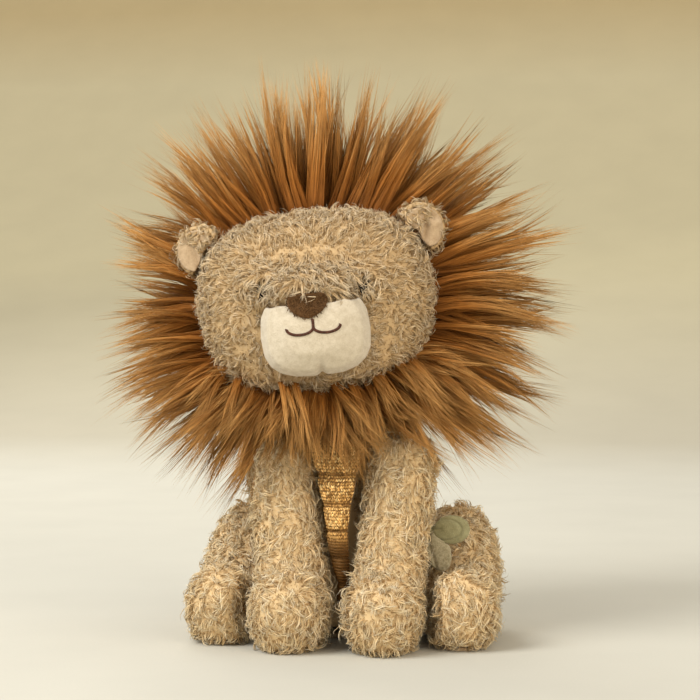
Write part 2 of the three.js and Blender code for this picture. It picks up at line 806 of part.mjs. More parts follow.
for (const side of Object.values(sides)) {
  mouthLines.push((t) => [
    side * mouthArc * (1 - Math.cos(Math.PI * t)),
    mouthTop - mouthStem - half(mouthArc) * Math.sin(Math.PI * t),
  ]);
}
const mouth = mouthLines
  .map((place) => {
    const stations = [0, 0.25, 0.5, 0.75, 1].map((t) => {
      const [x, z] = place(t);
      const at = new THREE.Vector3(x, muzzleFront(x, z) - threadRadius, z);
      return { at, across: threadRadius, tall: threadRadius };
    });
    const up = yAxis.clone().negate();
    const rounding = { roundSides: threadSides, perSpan: 1, domeSteps: 2 };
    return stuffed(stations, { up, domes: [threadRadius, threadRadius], ...rounding });
  })
  .reduce((a, b) => a.add(b));
const mouthOnMuzzle = mouth.subtract(muzzleForm(seamGap)).subtract(faceForm(seamGap));
addPiece("mouth_stitch", mouthOnMuzzle, darkThread, headFrame);

// Ears: a cup of pile with a lining, sewn at the head's upper corners
const earCentre = (side) =>
  new THREE.Vector3(
    side * half(headWidth) * earSpreadShare,
    -earDepth,
    half(headHeight) * earRiseShare,
  );
function earTurned(side) {
  const spin = new THREE.Quaternion().setFromAxisAngle(zAxis, side * earTurn);
  const lean = new THREE.Quaternion().setFromAxisAngle(yAxis, side * earLean);
  return spin.multiply(lean);
}
function earBall(side, shift, margin) {
  const turn = earTurned(side);
  const centre = new THREE.Vector3(0, -shift, 0).applyQuaternion(turn).add(earCentre(side));
  const radii = new THREE.Vector3(earWidth, earThickness, earHeight).multiplyScalar(half(1));
  return ball(centre, radii.addScalar(-margin), turn, limbSides - 2);
}
const earRoom = {};
for (const [name, side] of Object.entries(sides)) {
  const cup = earBall(side, cupMargin, cupMargin);
  const room = faceForm(seamGap);
  addPiece(`ear_${name}`, earBall(side, 0, 0).subtract(cup).subtract(room), curlyPile, headFrame);
  const lining = earBall(side, cupMargin, cupMargin + seamGap)
    .subtract(earBall(side, cupMargin + liningThickness, cupMargin + seamGap))
    .subtract(room);
  addPiece(`ear_lining_${name}`, lining, tanVelour, headFrame);
  earRoom[name] = earBall(side, 0, -seamGap);
}

// A repeatable unevenness from -1 to 1, so that no two locks are alike
const uneven = (i, seed) => Math.sin(i * unevenStepShares[0] + seed * unevenStepShares[1]);

// A crown of pointed locks on one ring round the head, as one closed skin.
// Neighbours part at a valley, and each lock has a ridge on its front and on its back.
// A chin crown has its full reach below only, where the locks come forward over the chest.
function crown({ count, lean, reachShare, rootShare, phase, chin }, seed) {
  const points = [];
  const faces = [];
  const slope = THREE.MathUtils.degToRad(lean);
  const place = (turn, share, thickness, i) => {
    const angle = (turn / count) * 2 * Math.PI;
    const below = THREE.MathUtils.smoothstep(-Math.sin(angle), chinShares.from, chinShares.to);
    const under = THREE.MathUtils.smoothstep(-Math.sin(angle), underShares.from, underShares.to);
    const tall = 1 + maneRiseShare * Math.max(Math.sin(angle), 0) ** 2;
    const shorter = chin
      ? THREE.MathUtils.lerp(lockShares.root, 1, below)
      : THREE.MathUtils.lerp(1, underShares.reach, under);
    const out = share > lockShares.root ? THREE.MathUtils.lerp(lockShares.root, share, shorter) : share;
    const uncertain = 1 + lockReachShare * uneven(i, seed);
    const reach = maneReach * reachShare * tall * out * uncertain;
    points.push(
      new THREE.Vector3(
        Math.cos(angle) * Math.cos(slope) * reach,
        maneReach * rootShare + Math.sin(slope) * reach + thickness - chinForward * below * share ** 2,
        Math.sin(angle) * Math.cos(slope) * reach,
      ),
    );
  };
  const thick = half(lockThickness);
  for (let i = 0; i < count; i++) {
    const turn = i + phase;
    const sway = lockSwayShare * uneven(i, seed + 1);
    place(turn - half(1), lockShares.root, -thick, 0);
    place(turn - half(1), lockShares.root, thick, 0);
    place(turn - half(1), lockShares.valley, 0, i);
    place(turn, lockShares.ridge, lockStray * uneven(i, seed + 2) - thick * lockShares.thin, i);
    place(turn, lockShares.ridge, lockStray * uneven(i, seed + 2) + thick * lockShares.thin, i);
    place(turn + sway, 1, 2 * lockStray * uneven(i, seed + 2), i);
  }
  const [front, back, valley, frontRidge, backRidge, tip] = [0, 1, 2, 3, 4, 5];
  for (let i = 0; i < count; i++) {
    const here = (part) => i * (tip + 1) + part;
    const next = (part) => ((i + 1) % count) * (tip + 1) + part;
    faces.push(here(front), here(frontRidge), next(front), here(back), next(back), here(backRidge));
    faces.push(here(front), here(valley), here(frontRidge), here(back), here(backRidge), here(valley));
    faces.push(next(front), here(frontRidge), next(valley), next(back), next(valley), here(backRidge));
    faces.push(here(valley), here(tip), here(frontRidge), here(valley), here(backRidge), here(tip));
    faces.push(here(frontRidge), here(tip), next(valley), here(backRidge), next(valley), here(tip));
    faces.push(here(front), next(front), next(back), here(front), next(back), here(back));
  }
  const geometry = new THREE.BufferGeometry().setFromPoints(points);
  geometry.setIndex(faces);
  return outward(geometry);
}

// The surface where the ruff meets the nape: a shallow cone about the head
function partingCone(shift) {
  const far = maneReach + overrun;
  const slope = Math.tan(manePartSlope);
  const profile = [
    [0, manePart],
    [half(headHeight), manePart],
    [far, manePart + (far - half(headHeight)) * slope],
    [far, 2 * far],
    [0, 2 * far],
  ];
  const geometry = new THREE.LatheGeometry(
    profile.map(([radius, depth]) => new THREE.Vector2(radius, depth + shift)),
    bodySides,
  );
  return solidOf(geometry);
}

// What the mane must stay clear of while the head turns and the front legs swing forward
const turning = [];
for (let i = 0; i <= swingSteps; i++) turning.push(headSwing * ((2 * i) / swingSteps - 1));
let belowHead = torsoForm(bellyThickness + swingGap).add(neckBall(swingGap));
for (const name of Object.keys(sides)) belowHead = belowHead.add(swingRoom[name](swingMargin));
const maneCore = skullForm(maneBand);
const bandFront = block(
  new THREE.Vector3(-maneReach, maneFront, -maneReach),
  new THREE.Vector3(maneReach, maneReach, maneReach),
);
function maneSolid(crowns, seed, keep) {
  let mane = keep(maneCore.intersect(bandFront));
  crowns.forEach((ring, i) => {
    mane = mane.add(keep(crown(ring, seed + i)));
  });
  const inMane = (solid, from) => carried(solid, from, maneFrame);
  for (const solid of [faceForm(seamGap), earRoom.left, earRoom.right]) {
    mane = mane.subtract(inMane(solid, headFrame));
  }
  for (const degrees of turning) mane = mane.subtract(inMane(turnedAtNeck(belowHead, degrees), lion));
  return mane;
}
const ruff = maneSolid(ruffCrowns, 1, (solid) => solid.subtract(partingCone(0)));
const nape = maneSolid(napeCrowns, ruffCrowns.length + 1, (solid) => solid.intersect(partingCone(seamGap)));
addPiece("mane_ruff", ruff, manePile, maneFrame);
addPiece("mane_nape", nape, manePile, maneFrame);

// Tail tuft: a bunch of locks drawn over the tail's end
const tailEnd = tailLine[tailLine.length - 1];
const tuftAxis = new THREE.Vector3().subVectors(tailEnd, tailLine[tailLine.length - 2]).normalize();
const tuftSide = new THREE.Vector3().crossVectors(zAxis, tuftAxis);
function tuftLock(around, spread, width, length) {
  const out = new THREE.Vector3();
  out.addScaledVector(tuftSide, Math.cos(around)).addScaledVector(zAxis, Math.sin(around));
  const stations = tuftShares.map(({ along, out: wide, width: thick }) => ({
    at: tailEnd.clone().addScaledVector(tuftAxis, length * along).addScaledVector(out, spread * wide),
    across: half(width) * thick,
    tall: half(width) * thick,
  }));
  const domes = [half(width), length * tuftPointShare];
  return stuffed(stations, { domes, roundSides: threadSides, perSpan: 1, domeSteps: 1 });
}
let tuft = tuftLock(0, 0, tuftWidth, tuftLength);
for (let i = 0; i < tuftLocks; i++) {
  const around = (i / tuftLocks) * 2 * Math.PI;
  tuft = tuft.add(tuftLock(around, half(half(tuftWidth)), half(tuftWidth), tuftLength));
}
tuft = above(carried(tuft.subtract(tailForm(seamGap)), tailRoot, lion), soleSink);
addPiece("tail_tuft", carried(tuft, lion, tailRoot), manePile, tailRoot);

// Side leaves: each a padded oval on a short stem that is caught in the side seam
let leafRoom = legRoom.left.add(hindRoom.left).add(torsoForm(seamGap));
for (const { name, length, width, turn, forward, inward, drop } of sideLeaves) {
  const swing = new THREE.Quaternion().setFromAxisAngle(yAxis, -THREE.MathUtils.degToRad(turn));
  const ahead = xAxis.clone().applyQuaternion(swing);
  const stemStart = new THREE.Vector3(leafRootX - inward, leafRootY, leafRootZ - drop);
  const middle = stemStart.clone().addScaledVector(ahead, half(length));
  middle.y += forward;
  middle.x += inward;
  middle.z += drop;
  const radii = new THREE.Vector3(half(length), half(leafThickness), half(width));
  const stemRadii = new THREE.Vector3(leafStem, half(leafThickness), half(leafStem));
  const stem = ball(stemStart, stemRadii, swing, smallSides);
  const leaf = ball(middle, radii, swing, smallSides).add(stem).subtract(leafRoom);
  addPiece(name, leaf, sageCotton);
  leafRoom = leafRoom
    .add(ball(middle, radii.clone().addScalar(seamGap), swing, smallSides))
    .add(ball(stemStart, stemRadii.clone().addScalar(seamGap), swing, smallSides));
}

export default lion;
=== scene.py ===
# %% [markdown]
# # A sitting plush lion
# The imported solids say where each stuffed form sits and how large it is. What the eye knows a
# plush toy by is its cloth: curls that stand on the body, long locks round the face, knitted
# rolls on the belly. This lesson keeps the solids' places and dresses each one in its cloth.

import math

import bpy
import numpy as np
from mathutils import Matrix, Vector, noise
from mathutils.bvhtree import BVHTree


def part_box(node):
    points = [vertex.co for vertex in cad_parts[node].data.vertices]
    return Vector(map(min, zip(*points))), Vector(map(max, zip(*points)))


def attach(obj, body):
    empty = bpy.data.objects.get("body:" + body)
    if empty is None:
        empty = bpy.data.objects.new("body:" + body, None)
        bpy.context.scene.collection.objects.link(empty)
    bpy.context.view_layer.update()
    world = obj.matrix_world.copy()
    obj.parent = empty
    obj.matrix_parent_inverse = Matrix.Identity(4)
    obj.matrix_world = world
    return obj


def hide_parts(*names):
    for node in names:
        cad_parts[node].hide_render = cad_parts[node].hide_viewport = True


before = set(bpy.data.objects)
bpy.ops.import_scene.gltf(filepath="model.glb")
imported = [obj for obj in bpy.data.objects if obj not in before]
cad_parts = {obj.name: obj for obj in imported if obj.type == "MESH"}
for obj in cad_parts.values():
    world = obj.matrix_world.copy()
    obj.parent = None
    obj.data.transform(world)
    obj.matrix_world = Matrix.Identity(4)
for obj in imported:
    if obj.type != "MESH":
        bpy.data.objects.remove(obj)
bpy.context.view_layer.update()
MM = 0.001
print("solids loaded:", len(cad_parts))

# %% [markdown]
# ## Camera
# The picture was taken with a long lens from a little to the lion's left and at the height of
# its chin. A long lens keeps the muzzle from looking larger than it is. The camera comes first,
# because every later choice is judged through it.

# %% Set up the camera
camera_turn = math.radians(9.12)
camera_dip = math.radians(1.18)
camera_away = 875 * MM
camera_side = math.radians(9)
camera_data = bpy.data.cameras.new("portrait_lens")
camera_data.lens = 100
camera_data.sensor_width = 36
camera = bpy.data.objects.new("camera", camera_data)
bpy.context.collection.objects.link(camera)
camera.location = (
    camera_away * math.sin(camera_side), -camera_away * math.cos(camera_side), 145 * MM
)
camera.rotation_euler = (math.radians(90) - camera_dip, 0, camera_turn)
bpy.context.scene.camera = camera
print("camera at", [round(part, 3) for part in camera.location])

# %% [markdown]
# ## Floor and light
# A plain pale sweep stands for the floor and the wall: one sheet that bends up behind the toy,
# so no horizon line cuts the picture. The light is soft and comes from the upper left, with a
# weak fill from the right, as from one large window.

# %% Helpers that stand for selecting by hand
def pick(piece):
    """Selects one piece alone and makes it the active one."""
    bpy.ops.object.select_all(action="DESELECT")
    piece.select_set(True)
    bpy.context.view_layer.objects.active = piece


def named(name):
    """The piece that an operator has just added, under its name."""
    piece = bpy.context.active_object
    piece.name = name
    piece.data.name = name
    return piece


def settle(piece):
    """Writes a piece's place and size into its mesh, so that its object sits at the origin."""
    pick(piece)
    bpy.ops.object.transform_apply(location=True, rotation=True, scale=True)


def apply_modifiers(piece):
    pick(piece)
    for modifier in list(piece.modifiers):
        bpy.ops.object.modifier_apply(modifier=modifier.name)


# %% Sweep: a plane whose back edge is pulled up and rounded
SWEEP_WIDTH = 6
WALL_HEIGHT = 2.4
bpy.ops.mesh.primitive_plane_add(size=SWEEP_WIDTH, location=(0, 0, 0))
sweep = named("sweep")
bpy.ops.object.mode_set(mode="EDIT")
bpy.ops.mesh.select_all(action="DESELECT")
bpy.ops.object.mode_set(mode="OBJECT")
for edge in sweep.data.edges:
    edge.select = min(sweep.data.vertices[i].co.y for i in edge.vertices) > 0
bpy.ops.object.mode_set(mode="EDIT")
bpy.ops.mesh.extrude_region_move(TRANSFORM_OT_translate={"value": (0, 0, WALL_HEIGHT)})
bpy.ops.object.mode_set(mode="OBJECT")
rounding = sweep.modifiers.new("rounding", "BEVEL")
rounding.width = 2.3
rounding.segments = 48
rounding.limit_method = "ANGLE"
apply_modifiers(sweep)
bpy.ops.object.shade_smooth()
settle(sweep)
print("the sweep bends in", len(sweep.data.polygons), "strips")


# %% Lamps
def soft_lamp(name, place, size, watts, colour):
    """A square lamp that faces the lion's chest."""
    lamp = bpy.data.lights.new(name, "AREA")
    lamp.shape = "SQUARE"
    lamp.size = size
    lamp.energy = watts
    lamp.color = colour
    holder = bpy.data.objects.new(name, lamp)
    bpy.context.collection.objects.link(holder)
    holder.location = place
    chest = Vector((0, 0, 0.13))
    holder.rotation_euler = (chest - Vector(place)).to_track_quat("-Z", "Y").to_euler()


soft_lamp("window", (-0.9, -0.9, 1.15), 0.9, 23, (1, 0.98, 0.95))
soft_lamp("fill", (1.1, -1.0, 0.5), 1.2, 12, (1, 0.87, 0.70))
soft_lamp("rim", (-0.5, 1.0, 0.9), 0.7, 7, (1, 0.97, 0.92))
world = bpy.data.worlds.new("room")
bpy.context.scene.world = world
world.use_nodes = True
room_light = world.node_tree.nodes["Background"].inputs
room_light["Color"].default_value = (1, 0.95, 0.87, 1)
room_light["Strength"].default_value = 0.68
bpy.context.scene.view_settings.view_transform = "Standard"
print("lamps:", [lamp.name for lamp in bpy.data.lights])


# %% [markdown]
# ## Materials
# Fur has no colour of its own at one point: a strand is pale at its tip and darker towards its
# root, where the dark is painted shade for where it stands among its neighbours, and no two
# strands are alike. So each strand carries two numbers, `along` from root to tip and `tone` for
# its own tint, and a node group turns them into a colour. A third, `lane`, says where a point
# lies round and along its strand, and draws fine streaks on it. The group is built once and
# each pile gives it its own colours.

# %% Small helpers for node trees
def fill_inputs(tree, made, inputs):
    """Gives each input of a node a value, or joins it to another node's output."""
    for key, value in inputs.items():
        if isinstance(value, bpy.types.NodeSocket):
            tree.links.new(value, made.inputs[key])
        else:
            made.inputs[key].default_value = value


def node(tree, kind, inputs=None, **settings):
    made = tree.nodes.new(kind)
    for key, value in settings.items():
        setattr(made, key, value)
    fill_inputs(tree, made, inputs or {})
    return made


def reckon(tree, operation, *values):
    """The result of a sum on values and outputs."""
    return node(tree, "ShaderNodeMath", dict(enumerate(values)), operation=operation).outputs[0]


def new_group(name, inputs, outputs, kind="ShaderNodeTree"):
    """An empty group. Each socket is given as its kind, or as the number that it starts at."""
    tree = bpy.data.node_groups.new(name, kind)
    for way, sockets in (("INPUT", inputs), ("OUTPUT", outputs)):
        for socket_name, start in sockets.items():
            number = {int: "Int", float: "Float"}.get(type(start))
            socket = tree.interface.new_socket(
                socket_name, in_out=way, socket_type="NodeSocket" + (number or start)
            )
            if number:
                socket.default_value = start
    return tree


def new_material(name, group, given, finish, joined):
    """A Principled surface behind a group. `joined` says which output feeds which input."""
    material = bpy.data.materials.new(name)
    material.use_nodes = True
    tree = material.node_tree
    front = node(tree, "ShaderNodeGroup", given, node_tree=group)
    finish = finish | {socket: front.outputs[output] for output, socket in joined.items()}
    fill_inputs(tree, tree.nodes["Principled BSDF"], finish)
    return material


# %% Strand colour: root, middle and tip colours, the dark root as painted shade, with a random tone for each strand
def strand_colour_group():
    tree = new_group(
        "Strand colour",
        {
            "Root": "Color", "Middle": "Color", "Tip": "Color", "Variation": 0.2,
            "Patch Scale": 60.0, "Streak": 0.0,
        },
        {"Color": "Color", "Normal": "Vector"},
    )
    given = node(tree, "NodeGroupInput").outputs
    along, tone, lane = (
        node(tree, "ShaderNodeAttribute", attribute_name=name).outputs
        for name in ("along", "tone", "lane")
    )
    lower = node(tree, "ShaderNodeMapRange", {"Value": along["Fac"], "From Max": 0.5})
    upper = node(tree, "ShaderNodeMapRange", {"Value": along["Fac"], "From Min": 0.45})
    first = node(
        tree, "ShaderNodeMix",
        {"Factor": lower.outputs["Result"], "A": given["Root"], "B": given["Middle"]},
        data_type="RGBA",
    )
    second = node(
        tree, "ShaderNodeMix",
        {"Factor": upper.outputs["Result"], "A": first.outputs["Result"], "B": given["Tip"]},
        data_type="RGBA",
    )
    place = node(tree, "ShaderNodeTexCoord").outputs["Object"]
    patches = node(
        tree, "ShaderNodeTexNoise", {"Vector": place, "Scale": given["Patch Scale"], "Detail": 3}
    ).outputs["Fac"]
    fibres = node(
        tree, "ShaderNodeTexNoise",
        {"Vector": lane["Vector"], "Scale": 2.2, "Detail": 3, "Roughness": 0.65},
    ).outputs["Fac"]
    centred = reckon(tree, "SUBTRACT", reckon(tree, "ADD", tone["Fac"], patches), 1)
    shade = reckon(tree, "MULTIPLY_ADD", centred, given["Variation"], 1)
    streak = reckon(tree, "SUBTRACT", fibres, 0.5)
    streaked = reckon(tree, "MULTIPLY_ADD", streak, given["Streak"], shade)
    shaded = node(
        tree, "ShaderNodeVectorMath", {0: second.outputs["Result"], "Scale": streaked},
        operation="SCALE",
    )
    relief = node(tree, "ShaderNodeBump", {"Distance": 0.0006, "Height": fibres})
    node(
        tree, "NodeGroupOutput",
        {"Color": shaded.outputs[0], "Normal": relief.outputs["Normal"]},
    )
    return tree


strand_colour = strand_colour_group()


def fur_material(
    name, root, middle, tip, variation, roughness, patch_scale=60, streak=0.0, gloss=0.25
):
    given = {
        "Root": (*root, 1), "Middle": (*middle, 1), "Tip": (*tip, 1), "Variation": variation,
        "Patch Scale": patch_scale, "Streak": streak,
    }
    joined = {"Color": "Base Color"} | ({"Normal": "Normal"} if streak else {})
    finish = {"Roughness": roughness, "Specular IOR Level": gloss}
    return new_material(name, strand_colour, given, finish, joined)


# Each pile's root colour is darker than its middle: painted shade among the strands.
curly_pile = fur_material(
    "curly_pile", (0.53, 0.33, 0.145), (0.89, 0.70, 0.41), (0.96, 0.87, 0.68), 0.36, 0.9, 170,
    0.9, 0.05,
)
mane_pile = fur_material(
    "mane_pile", (0.17, 0.052, 0.008), (0.41, 0.158, 0.029), (0.64, 0.35, 0.115), 0.35, 0.6,
    60, 2.2, 0.12,
)
# The face pile is the curly pile painted darker: painted shade over the face and the ears.
shaded_face_pile = fur_material(
    "shaded_face_pile", (0.43, 0.27, 0.115), (0.70, 0.52, 0.30), (0.85, 0.73, 0.54), 0.32, 0.9, 170,
    0.7, 0.05,
)
nose_pile = fur_material(
    "nose_velvet", (0.055, 0.025, 0.008), (0.13, 0.062, 0.02), (0.20, 0.105, 0.038), 0.5, 0.9
)
thread = fur_material(
    "dark_thread", (0.05, 0.016, 0.008), (0.075, 0.024, 0.012), (0.11, 0.038, 0.02), 0.4, 0.5
)
knit_yarn = fur_material(
    "knit_yarn", (0.25, 0.12, 0.03), (0.80, 0.47, 0.15), (1.0, 0.76, 0.36), 0.6, 0.45
)
piles = (curly_pile, mane_pile, shaded_face_pile, nose_pile, thread, knit_yarn)
print("piles and threads:", [pile.name for pile in piles])


# %% [markdown]
# ## Plain cloth
# Velour and cotton have no strands that the eye can follow, only a grain and a slow mottling
# where the nap lies another way. Two noises give both, so one group serves all plain cloth, and
# with less relief it serves the plastic and the painted sweep too.

# %% Cloth grain: colour mottling and fine relief for short-pile and woven cloth
def cloth_grain_group():
    tree = new_group(
        "Cloth grain",
        {
            "Color": "Color", "Shadow": "Color", "Grain Scale": 1200.0, "Mottle Scale": 90.0,
            "Relief": 0.3, "Roughness": 0.9,
        },
        {"Color": "Color", "Roughness": "Float", "Normal": "Vector"},
    )
    given = node(tree, "NodeGroupInput").outputs
    place = node(tree, "ShaderNodeTexCoord").outputs["Object"]
    grain = node(
        tree, "ShaderNodeTexNoise",
        {"Vector": place, "Scale": given["Grain Scale"], "Detail": 4, "Roughness": 0.7},
    ).outputs["Fac"]
    mottle = node(
        tree, "ShaderNodeTexNoise", {"Vector": place, "Scale": given["Mottle Scale"], "Detail": 3}
    ).outputs["Fac"]
    spread = node(
        tree, "ShaderNodeMapRange",
        {"Value": reckon(tree, "ADD", grain, mottle), "From Min": 0.7, "From Max": 1.2},
    )
    mixed = node(
        tree, "ShaderNodeMix",
        {"Factor": spread.outputs["Result"], "A": given["Shadow"], "B": given["Color"]},
        data_type="RGBA",
    )
    bump = node(
        tree, "ShaderNodeBump", {"Distance": 0.0004, "Strength": given["Relief"], "Height": grain}
    )
    node(tree, "NodeGroupOutput", {
        "Color": mixed.outputs["Result"],
        "Roughness": reckon(tree, "MULTIPLY_ADD", grain, 0.12, given["Roughness"]),
        "Normal": bump.outputs["Normal"],
    })
    return tree


cloth_grain = cloth_grain_group()


def cloth_material(name, colour, shadow, grain, mottle, relief=0.3, rough=0.85, sheen=0.3):
    given = {
        "Color": (*colour, 1), "Shadow": (*shadow, 1), "Grain Scale": grain,
        "Mottle Scale": mottle, "Relief": relief, "Roughness": rough,
    }
    finish = {"Sheen Weight": sheen, "Sheen Roughness": 0.5, "Specular IOR Level": 0.2}
    joined = {"Color": "Base Color", "Roughness": "Roughness", "Normal": "Normal"}
    return new_material(name, cloth_grain, given, finish, joined)


cream_velour = cloth_material(
    "cream_velour", (0.67, 0.59, 0.455), (0.54, 0.46, 0.33), 1500, 400, 1.0
)
tan_velour = cloth_material("tan_velour", (0.56, 0.41, 0.25), (0.40, 0.27, 0.15), 1500, 300, 0.9)
# The strip under the stitches is painted dark gold: painted shade in the gaps between the stitches.
gold_knit = cloth_material(
    "gold_knit", (0.26, 0.14, 0.04), (0.14, 0.07, 0.018), 1500, 500, 0.4, 0.6
)
sage_cotton = cloth_material(
    "sage_cotton", (0.37, 0.345, 0.19), (0.25, 0.23, 0.11), 2000, 300, 0.8
)
sage_grain = cloth_material("sage_grain", (0.50, 0.44, 0.29), (0.26, 0.22, 0.12), 2200, 900, 0.7)
calico = cloth_material("calico", (0.70, 0.62, 0.48), (0.60, 0.52, 0.38), 1500, 200, 0.4)
washer_plastic = cloth_material(
    "washer_plastic", (0.70, 0.70, 0.66), (0.64, 0.64, 0.60), 600, 90, 0.1, 0.4, 0
)
eye_plastic = cloth_material(
    "eye_plastic", (0.012, 0.008, 0.006), (0.008, 0.005, 0.004), 300, 90, 0.01, 0.03, 0
)
eye_plastic.node_tree.nodes["Principled BSDF"].inputs["Coat Weight"].default_value = 0.1


# %% Sweep paint: pale where the toy sits, darker just past the bend, and with painted shade that darkens and warms the top of the wall
def sweep_material():
    material = cloth_material("sweep_paint", (1, 1, 1), (1, 1, 1), 900, 14, 0.05, 0.9, 0)
    tree = material.node_tree
    place = node(tree, "ShaderNodeTexCoord").outputs["Object"]
    height = node(tree, "ShaderNodeSeparateXYZ", {"Vector": place}).outputs["Z"]
    ramp = node(tree, "ShaderNodeValToRGB", {"Fac": height})
    stops = (
        (0.0, (0.60, 0.59, 0.52)), (0.02, (0.51, 0.48, 0.385)), (0.2, (0.68, 0.62, 0.42)),
        (0.5, (0.69, 0.615, 0.405)), (0.64, (0.61, 0.49, 0.275)),
    )
    while len(ramp.color_ramp.elements) < len(stops):
        ramp.color_ramp.elements.new(0.5)
    for element, (level, colour) in zip(ramp.color_ramp.elements, stops):
        element.position = level
        element.color = (*colour, 1)
    paint = ramp.outputs["Color"]
    darker = node(tree, "ShaderNodeVectorMath", {0: paint, "Scale": 0.95}, operation="SCALE")
    cloth = next(n for n in tree.nodes if n.type == "GROUP")
    fill_inputs(tree, cloth, {"Color": paint, "Shadow": darker.outputs[0]})
    return material


sweep.data.materials.append(sweep_material())
print("materials:", len(bpy.data.materials))

# %% [markdown]
# ## One strand, modelled once
# A curl, a hair and a nap fibre are the same thing at different sizes: a thin tapering blade.
# Each kind is modelled once, as a cone with a few cuts across it. Three sides are enough for a
# fine one, because smooth shading rounds them, and every face saved here is saved tens of
# thousands of times. Stout ones get more sides. The cuts are where a copy of it can bend.


# %% Model the blades
def taken_mesh(piece):
    """Points and faces of a piece, which is then removed."""
    points = np.array([v.co for v in piece.data.vertices])
    faces = np.array([p.vertices for p in piece.data.polygons])
    bpy.data.objects.remove(piece)
    return points, faces


def model_blade(name, bends, sides=3):
    """A unit blade along +Z, closed at both ends, with a ring at each bend."""
    bpy.ops.object.select_all(action="DESELECT")
    bpy.ops.mesh.primitive_cone_add(
        vertices=sides, radius1=1, radius2=0, depth=1, location=(0, 0, 0.5)
    )
    blade = named(name)
    settle(blade)
    bpy.ops.object.mode_set(mode="EDIT")
    for i in range(1, bends + 1):
        bpy.ops.mesh.select_all(action="SELECT")
        level = (0, 0, i / (bends + 1))
        bpy.ops.mesh.bisect(plane_co=level, plane_no=(0, 0, 1), use_fill=False)
    bpy.ops.mesh.select_all(action="SELECT")
    bpy.ops.mesh.quads_convert_to_tris()
    bpy.ops.object.mode_set(mode="OBJECT")
    points, faces = taken_mesh(blade)
    height = points[:, 2].copy()
    round_way = points[:, :2] / np.maximum(1 - height, 1e-6)[:, None]
    round_way[height > 0.999] = 0
    print(name, "has", len(faces), "faces")
    return {"height": height, "round": round_way, "faces": faces}


hair_blade = model_blade("hair_blade", 2)
wisp_blade = model_blade("wisp_blade", 4, 7)
fuzz_blade = model_blade("fuzz_blade", 1)
tuft_blade = model_blade("tuft_blade", 4, 5)


# %% [markdown]
# ## Laying strands
# Each strand is a copy of the blade bent round an arc. An arc needs few numbers: where it
# starts, which way it sets off, which way it curls, how long it is and how far it turns. Long
# hairs in a lock also draw together towards the tip. All copies are computed at once as arrays
# and then written to a single mesh.


# %% Bend thousands of blades at once
LANE_STRETCH = 20


def unit(vectors):
    return vectors / np.maximum(np.linalg.norm(vectors, axis=-1, keepdims=True), 1e-9)


def smooth_step(x, low, high):
    t = np.clip((x - low) / (high - low), 0, 1)
    return t * t * (3 - 2 * t)


def lay_strands(
    blade, root, ahead, aside, length, width, arc, draw=None, flat=1.0, fine=0.45, wave=None
):
    """Blades that set off along `ahead` and curl towards `aside`, as one set of arrays."""
    ahead = unit(ahead)
    aside = unit(aside - ahead * np.sum(ahead * aside, axis=1, keepdims=True))
    across = np.cross(aside, ahead)[:, None, :]
    t = blade["height"][None, :]
    arc = np.maximum(arc, 1e-3)[:, None]
    reach = length[:, None] / arc
    on = (reach * np.sin(arc * t))[..., None]
    off = (reach * (1 - np.cos(arc * t)))[..., None]
    points = root[:, None, :] + on * ahead[:, None, :] + off * aside[:, None, :]
    if draw is not None:
        points += (t**1.5)[..., None] * draw[:, None, :]
    if wave is not None:
        size, rounds, phase = (part[:, None] for part in wave)
        points += (size * (np.sin(rounds * t + phase) - np.sin(phase)))[..., None] * across
    taper = (width[:, None] * (1 - t) ** fine)[..., None]
    inward = (
        np.cos(arc * t)[..., None] * aside[:, None, :]
        - np.sin(arc * t)[..., None] * ahead[:, None, :]
    )
    x = blade["round"][None, :, 0, None]
    y = blade["round"][None, :, 1, None]
    points = points + taper * x * across + flat * taper * y * inward
    last = (t > 0.999)[..., None] * ahead[:, None, :]
    facing = unit(flat * x * across + y * inward + last)
    count, size = len(root), len(blade["height"])
    faces = blade["faces"][None] + (np.arange(count) * size)[:, None, None]
    thick = width[:, None, None]
    lane = [thick * x, thick * y, (t * length[:, None] / LANE_STRETCH)[..., None]]
    return {
        "lane": np.concatenate(lane, axis=2).reshape(-1, 3),
        "points": points.reshape(-1, 3),
        "faces": faces.reshape(-1, 3),
        "along": np.broadcast_to(t, (count, size)).reshape(-1),
        "facing": facing.reshape(-1, 3),
        "size": size,
    }


def strewn_lanes(laid, dice, millimetre):
    """Gives each strand its own place in the streak pattern, which is in millimetres."""
    count = len(laid["points"]) // laid["size"]
    shift = np.repeat(dice.uniform(0, 90, (count, 3)), laid["size"], axis=0)
    laid["lane"] = laid["lane"] / millimetre + shift
    return laid


def join_strands(parts):
    """Several sets of laid strands as one set."""
    start = 0
    for part in parts:
        part["faces"] = part["faces"] + start
        start += len(part["points"])
    keys = ("points", "faces", "along", "facing", "lane")
    return {key: np.concatenate([part[key] for part in parts]) for key in keys}


# %% [markdown]
# ## From arrays to a piece
# A mesh's points can carry any numbers, under names that a material reads. The shading of a
# strand is bent towards that of the cloth under it. Shaded as hard little rods, the strands
# would look like straw.

# %% Write strands as a mesh
def give_numbers(mesh, numbers):
    """Stores numbers at a mesh's points, each set under its name."""
    for key, values in numbers.items():
        attribute = mesh.attributes.new(key, "FLOAT", "POINT")
        attribute.data.foreach_set("value", values.astype(np.float32))


def mesh_piece(name, points, faces, numbers, material):
    mesh = bpy.data.meshes.new(name)
    mesh.from_pydata(points.astype(np.float32), [], faces)
    give_numbers(mesh, numbers)
    mesh.polygons.foreach_set("use_smooth", np.ones(len(faces), bool))
    mesh.materials.append(material)
    piece = bpy.data.objects.new(name, mesh)
    bpy.context.collection.objects.link(piece)
    return piece


